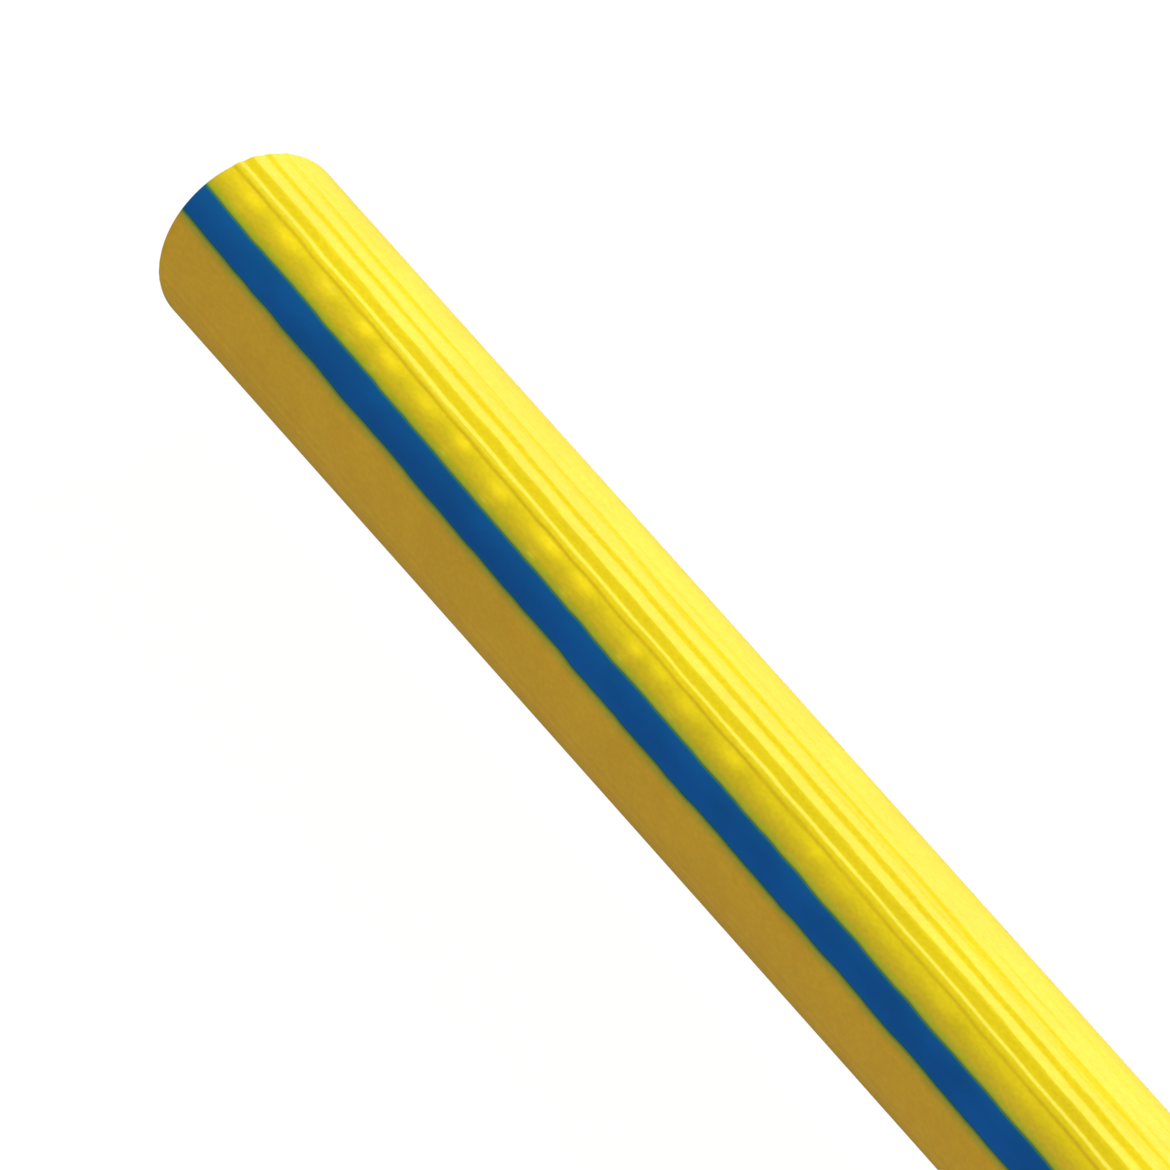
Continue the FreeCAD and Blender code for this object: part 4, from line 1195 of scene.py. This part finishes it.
PAD_HALF_TURN = math.radians(65)
PAD_HALF_THICK = 5.4 * MM
PAD_HALF_HIGH = 28 * MM
PAD_LONG_SEAM = 22.5 * MM
PAD_CROSS_SEAMS = np.radians([-33, 0, 33])
PAD_SWELL = 3.6 * MM
SEAM_HALF = 1.9 * MM
PAD_STITCH = (2.9 * MM, 0.8 * MM, 0.7 * MM)
PAD_STITCH_STEP = 4 * MM
PAD_CROSS_REACH, PAD_CROSS_STITCHES = 18 * MM, 10
CLOTH_STEPS = 20


def pad_places(points):
    """Distance from the curve's axis, angle round it from the far side, and height above the middle."""
    x, y = STRAP_AXES @ (points - np.array(STRAP_CENTRE)).T
    return np.hypot(x, y), np.arctan2(y, x), points[:, 2] - STRAP_AT.z


def pad_points(radius, angle, height):
    flat = np.stack([radius * np.cos(angle), radius * np.sin(angle)], axis=-1)
    points = np.array(STRAP_CENTRE) + flat @ STRAP_AXES
    points[..., 2] = STRAP_AT.z + height
    return points


def seam_distance(angle, height):
    """Distance to the nearest sewn line of the pad."""
    nearest = np.abs(np.abs(height) - PAD_LONG_SEAM)
    between = np.abs(height) < PAD_LONG_SEAM
    for seam in PAD_CROSS_SEAMS:
        nearest = np.where(between, np.minimum(nearest, np.abs(angle - seam) * STRAP_MIDDLE), nearest)
    return nearest


def swell_pad(piece):
    """Blows the pad up between its seams as filled cloth."""
    start = get_points(piece.data)
    _, angle, height = pad_places(start)
    sewn = (seam_distance(angle, height) < SEAM_HALF) | (np.abs(angle) > PAD_HALF_TURN - math.radians(1.2))
    group = piece.vertex_groups.new(name="sewn")
    group.add([int(index) for index in np.flatnonzero(sewn)], 1.0, "REPLACE")
    cloth = add_modifier(piece, "CLOTH").settings
    set_all(cloth, quality=6, mass=0.2, vertex_group_mass="sewn")
    set_all(cloth, tension_stiffness=12, compression_stiffness=12, bending_stiffness=0.3)
    set_all(cloth, use_pressure=True, uniform_pressure_force=4)
    cloth.effector_weights.gravity = 0
    for step in range(1, CLOTH_STEPS + 1):
        bpy.context.scene.frame_set(step)
    bake(piece)
    moved = get_points(piece.data) - start
    length = np.linalg.norm(moved, axis=1, keepdims=True)
    set_points(piece.data, start + moved * np.minimum(1, PAD_SWELL / np.maximum(length, 1e-9)))
    bpy.context.scene.frame_set(1)


def sew_pad(piece):
    """Pulls the pad in along its seams."""
    radius, angle, height = pad_places(get_points(piece.data))
    pull = 0.50 * bump_at(seam_distance(angle, height), 0, 1.5 * MM)
    set_points(piece.data, pad_points(radius + (STRAP_MIDDLE - radius) * pull, angle, height))
    add_values(piece, "arc", angle * STRAP_MIDDLE)
    add_values(piece, "rise", height)


def pad_stitches(piece):
    """Thread along the pad's seams on both faces."""
    lines = []
    reach = PAD_HALF_TURN - math.radians(3)
    along_seam = np.arange(-reach, reach, PAD_STITCH_STEP / STRAP_MIDDLE)
    across_seam = np.linspace(-PAD_CROSS_REACH, PAD_CROSS_REACH, PAD_CROSS_STITCHES)
    for height in (-PAD_LONG_SEAM, PAD_LONG_SEAM):
        lines += [(angle, height, True) for angle in along_seam]
    for angle in PAD_CROSS_SEAMS:
        lines += [(angle, height, False) for height in across_seam]
    grids = []
    for angle, height, lengthwise in lines:
        out = STRAP_WAY * math.cos(angle) + STRAP_SIDE * math.sin(angle)
        along, side = (Z.cross(out), Z) if lengthwise else (Z, Z.cross(out))
        middle = Vector(pad_points(STRAP_MIDDLE, angle, height))
        for face in (1, -1):
            hit, place, _, _ = piece.ray_cast(middle + out * face * 30 * MM, -out * face)
            if hit:
                grids.append(stitch(place, along, side, *PAD_STITCH))
    stitches = surface("shoulder_pad_stitches", grids)
    stitches.data.materials.append(MATERIALS["thread"])
    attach(stitches, BODY_OF["shoulder_pad"])


def build_shoulder_pad():
    """A quilted sleeve: a round-cornered section bent round the strap's curve."""
    around = np.linspace(0, FULL_TURN, 48, endpoint=False)
    thick, high = (
        half * np.sign(share) * np.abs(share) ** 0.5
        for half, share in ((PAD_HALF_THICK, np.cos(around)), (PAD_HALF_HIGH, np.sin(around)))
    )
    angles = np.linspace(-PAD_HALF_TURN, PAD_HALF_TURN, 80)[:, None]
    grid = pad_points(STRAP_MIDDLE + thick + 0 * angles, angles + 0 * thick, high + 0 * angles)
    piece = remeshed(surface("shoulder_pad_sleeve", [grid]), 3.0 * MM, 2)
    swell_pad(piece)
    add_modifier(piece, "SUBSURF", levels=1)
    bake(piece)
    sew_pad(piece)
    stands_for(piece, "shoulder_pad")
    bpy.context.view_layer.update()
    pad_stitches(piece)


# Pieces that keep their CAD form: name, CAD node, voxel in mm, rounds of smoothing and detail.
CASTINGS = [
    ("upper_foam_block", "upper_foam_half", 5.5, 1, sleeve_dents),
    ("lower_foam_block", "lower_foam_half", 5.5, 1, sleeve_dents),
    ("far_ring_wire", "far_d_ring", 0.40, 3, bead(1)),
    ("near_ring_wire", "near_d_ring", 0.40, 3, bead(1)),
    ("strap_ring_wire", "strap_d_ring", 0.40, 3, bead(2)),
    ("swivel_eye_forging", "swivel_eye", 0.28, 5, None),
    ("swivel_washer_disc", "swivel_washer", 0.16, 4, None),
    ("hook_casting", "hook_body", 0.36, 7, parting_line),
    ("gate_pin_rivet", "gate_pin", 0.18, 6, None),
    ("gate_tongue", "hook_gate", 0.24, 5, gate_grip),
    ("gate_spring_wire", "gate_spring", 0.11, 2, None),
    ("line_ferrule_crimps", "line_ferrules", 0.40, 3, crimps),
    ("line_thimble_ring", "line_thimble", 0.40, 4, None),
    ("strap_slider_moulding", "strap_slider", 0.45, 3, slider_grip),
]

build_skin()
build_ends()
build_core_webbing()
build_core_tacks()
build_tow_line()
build_shoulder_webbing()
build_strap_stitches()
for casting in CASTINGS:
    cast(*casting)
build_shoulder_pad()

# ---- stage, light and camera

FLOOR_HALF = 60
FLOOR_BELOW_HOOK = 10 * MM
SKY = [
    (0.0, (0.16, 0.15, 0.13)),
    (0.44, (0.10, 0.10, 0.09)),
    (0.55, (0.42, 0.42, 0.42)),
    (0.80, (0.95, 0.95, 0.95)),
    (1.0, (0.75, 0.76, 0.78)),
]
WHITE = (1, 1, 1)
WARM_SKY = (1.0, 0.94, 0.86)
FLOOR_GREY = (0.04, 0.04, 0.04)


def start_tree(owner):
    """Empties a material's or a world's nodes and starts building there."""
    owner.use_nodes = True
    Shade.tree = owner.node_tree
    Shade.tree.nodes.clear()
    return owner


def build_floor():
    """A white floor, below the lowest place the hook can swing down to."""
    bar = np.array(JOINTS["near_ring_swing"]["pos_m"])
    low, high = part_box("hook_body")
    reach = max(math.dist(bar[::2], (high.x, z)) for z in (low.z, high.z))
    z = bar[2] - reach - FLOOR_BELOW_HOOK
    mesh = bpy.data.meshes.new("studio_floor")
    sides = ((-1, -1), (1, -1), (1, 1), (-1, 1))
    mesh.from_pydata([(FLOOR_HALF * x, FLOOR_HALF * y, z) for x, y in sides], [], [(0, 1, 2, 3)])
    floor = set_all(new_object("studio_floor", mesh), visible_diffuse=False, visible_glossy=False)
    mesh.materials.append(start_tree(bpy.data.materials.new("pale_floor")))
    lit = shade("BsdfDiffuse", "BSDF", {"Color": FLOOR_GREY})
    glow = shade("Emission", "Emission", {"Color": WHITE, "Strength": 0.985})
    both = shade("AddShader", "Shader", {0: lit, 1: glow})
    node("OutputMaterial", {"Surface": both})


def add_sun(name, strength, softness, colour, towards):
    light = bpy.data.lights.new(name, "SUN")
    set_all(light, energy=strength, angle=math.radians(softness), color=colour)
    turn = Vector(towards).to_track_quat("Z", "Y")
    set_all(new_object(name, light), rotation_mode="QUATERNION", rotation_quaternion=turn)


def background(colour, strength):
    return shade("Background", 0, {"Color": colour, "Strength": strength})


def build_light():
    """A soft key sun, a low fill and a warm sky, seen white by the camera and in bands by shiny metal."""
    add_sun("key_sun", 2.8, 9, (1.0, 0.98, 0.95), TO_SUN)
    add_sun("low_fill", 0.36, 40, (1.0, 0.9, 0.78), (0.1, -0.93, -0.1))
    bpy.context.scene.world = start_tree(bpy.data.worlds.new("studio"))
    rays = node("LightPath").outputs
    height = axes("Generated")[2]
    mirrored = background(ramp(remap(height, -1, 1), SKY), 0.8)
    soft = background(WARM_SKY, 0.46)
    white = background(WHITE, 1.0)
    light = shade("MixShader", 0, {0: Shade(rays["Is Glossy Ray"]), 1: soft, 2: mirrored})
    seen = shade("MixShader", 0, {0: Shade(rays["Is Camera Ray"]), 1: light, 2: white})
    node("OutputWorld", {"Surface": seen})


def build_camera():
    level = math.cos(VIEW_ELEVATION)
    up = math.sin(VIEW_ELEVATION)
    back = Vector((math.sin(VIEW_AZIMUTH) * level, -math.cos(VIEW_AZIMUTH) * level, up))
    distance = VIEW_WIDTH * LENS_MM / SENSOR_MM
    lens = bpy.data.cameras.new("camera")
    set_all(lens, sensor_width=SENSOR_MM, lens=LENS_MM, clip_start=1, clip_end=2 * distance)
    camera = new_object("camera", lens)
    camera.location = VIEW_CENTRE + back * distance
    set_all(camera, rotation_mode="QUATERNION", rotation_quaternion=(-back).to_track_quat("-Z", "Y"))
    bpy.context.scene.camera = camera


build_floor()
build_light()
build_camera()
bpy.context.scene.view_settings.view_transform = "Standard"
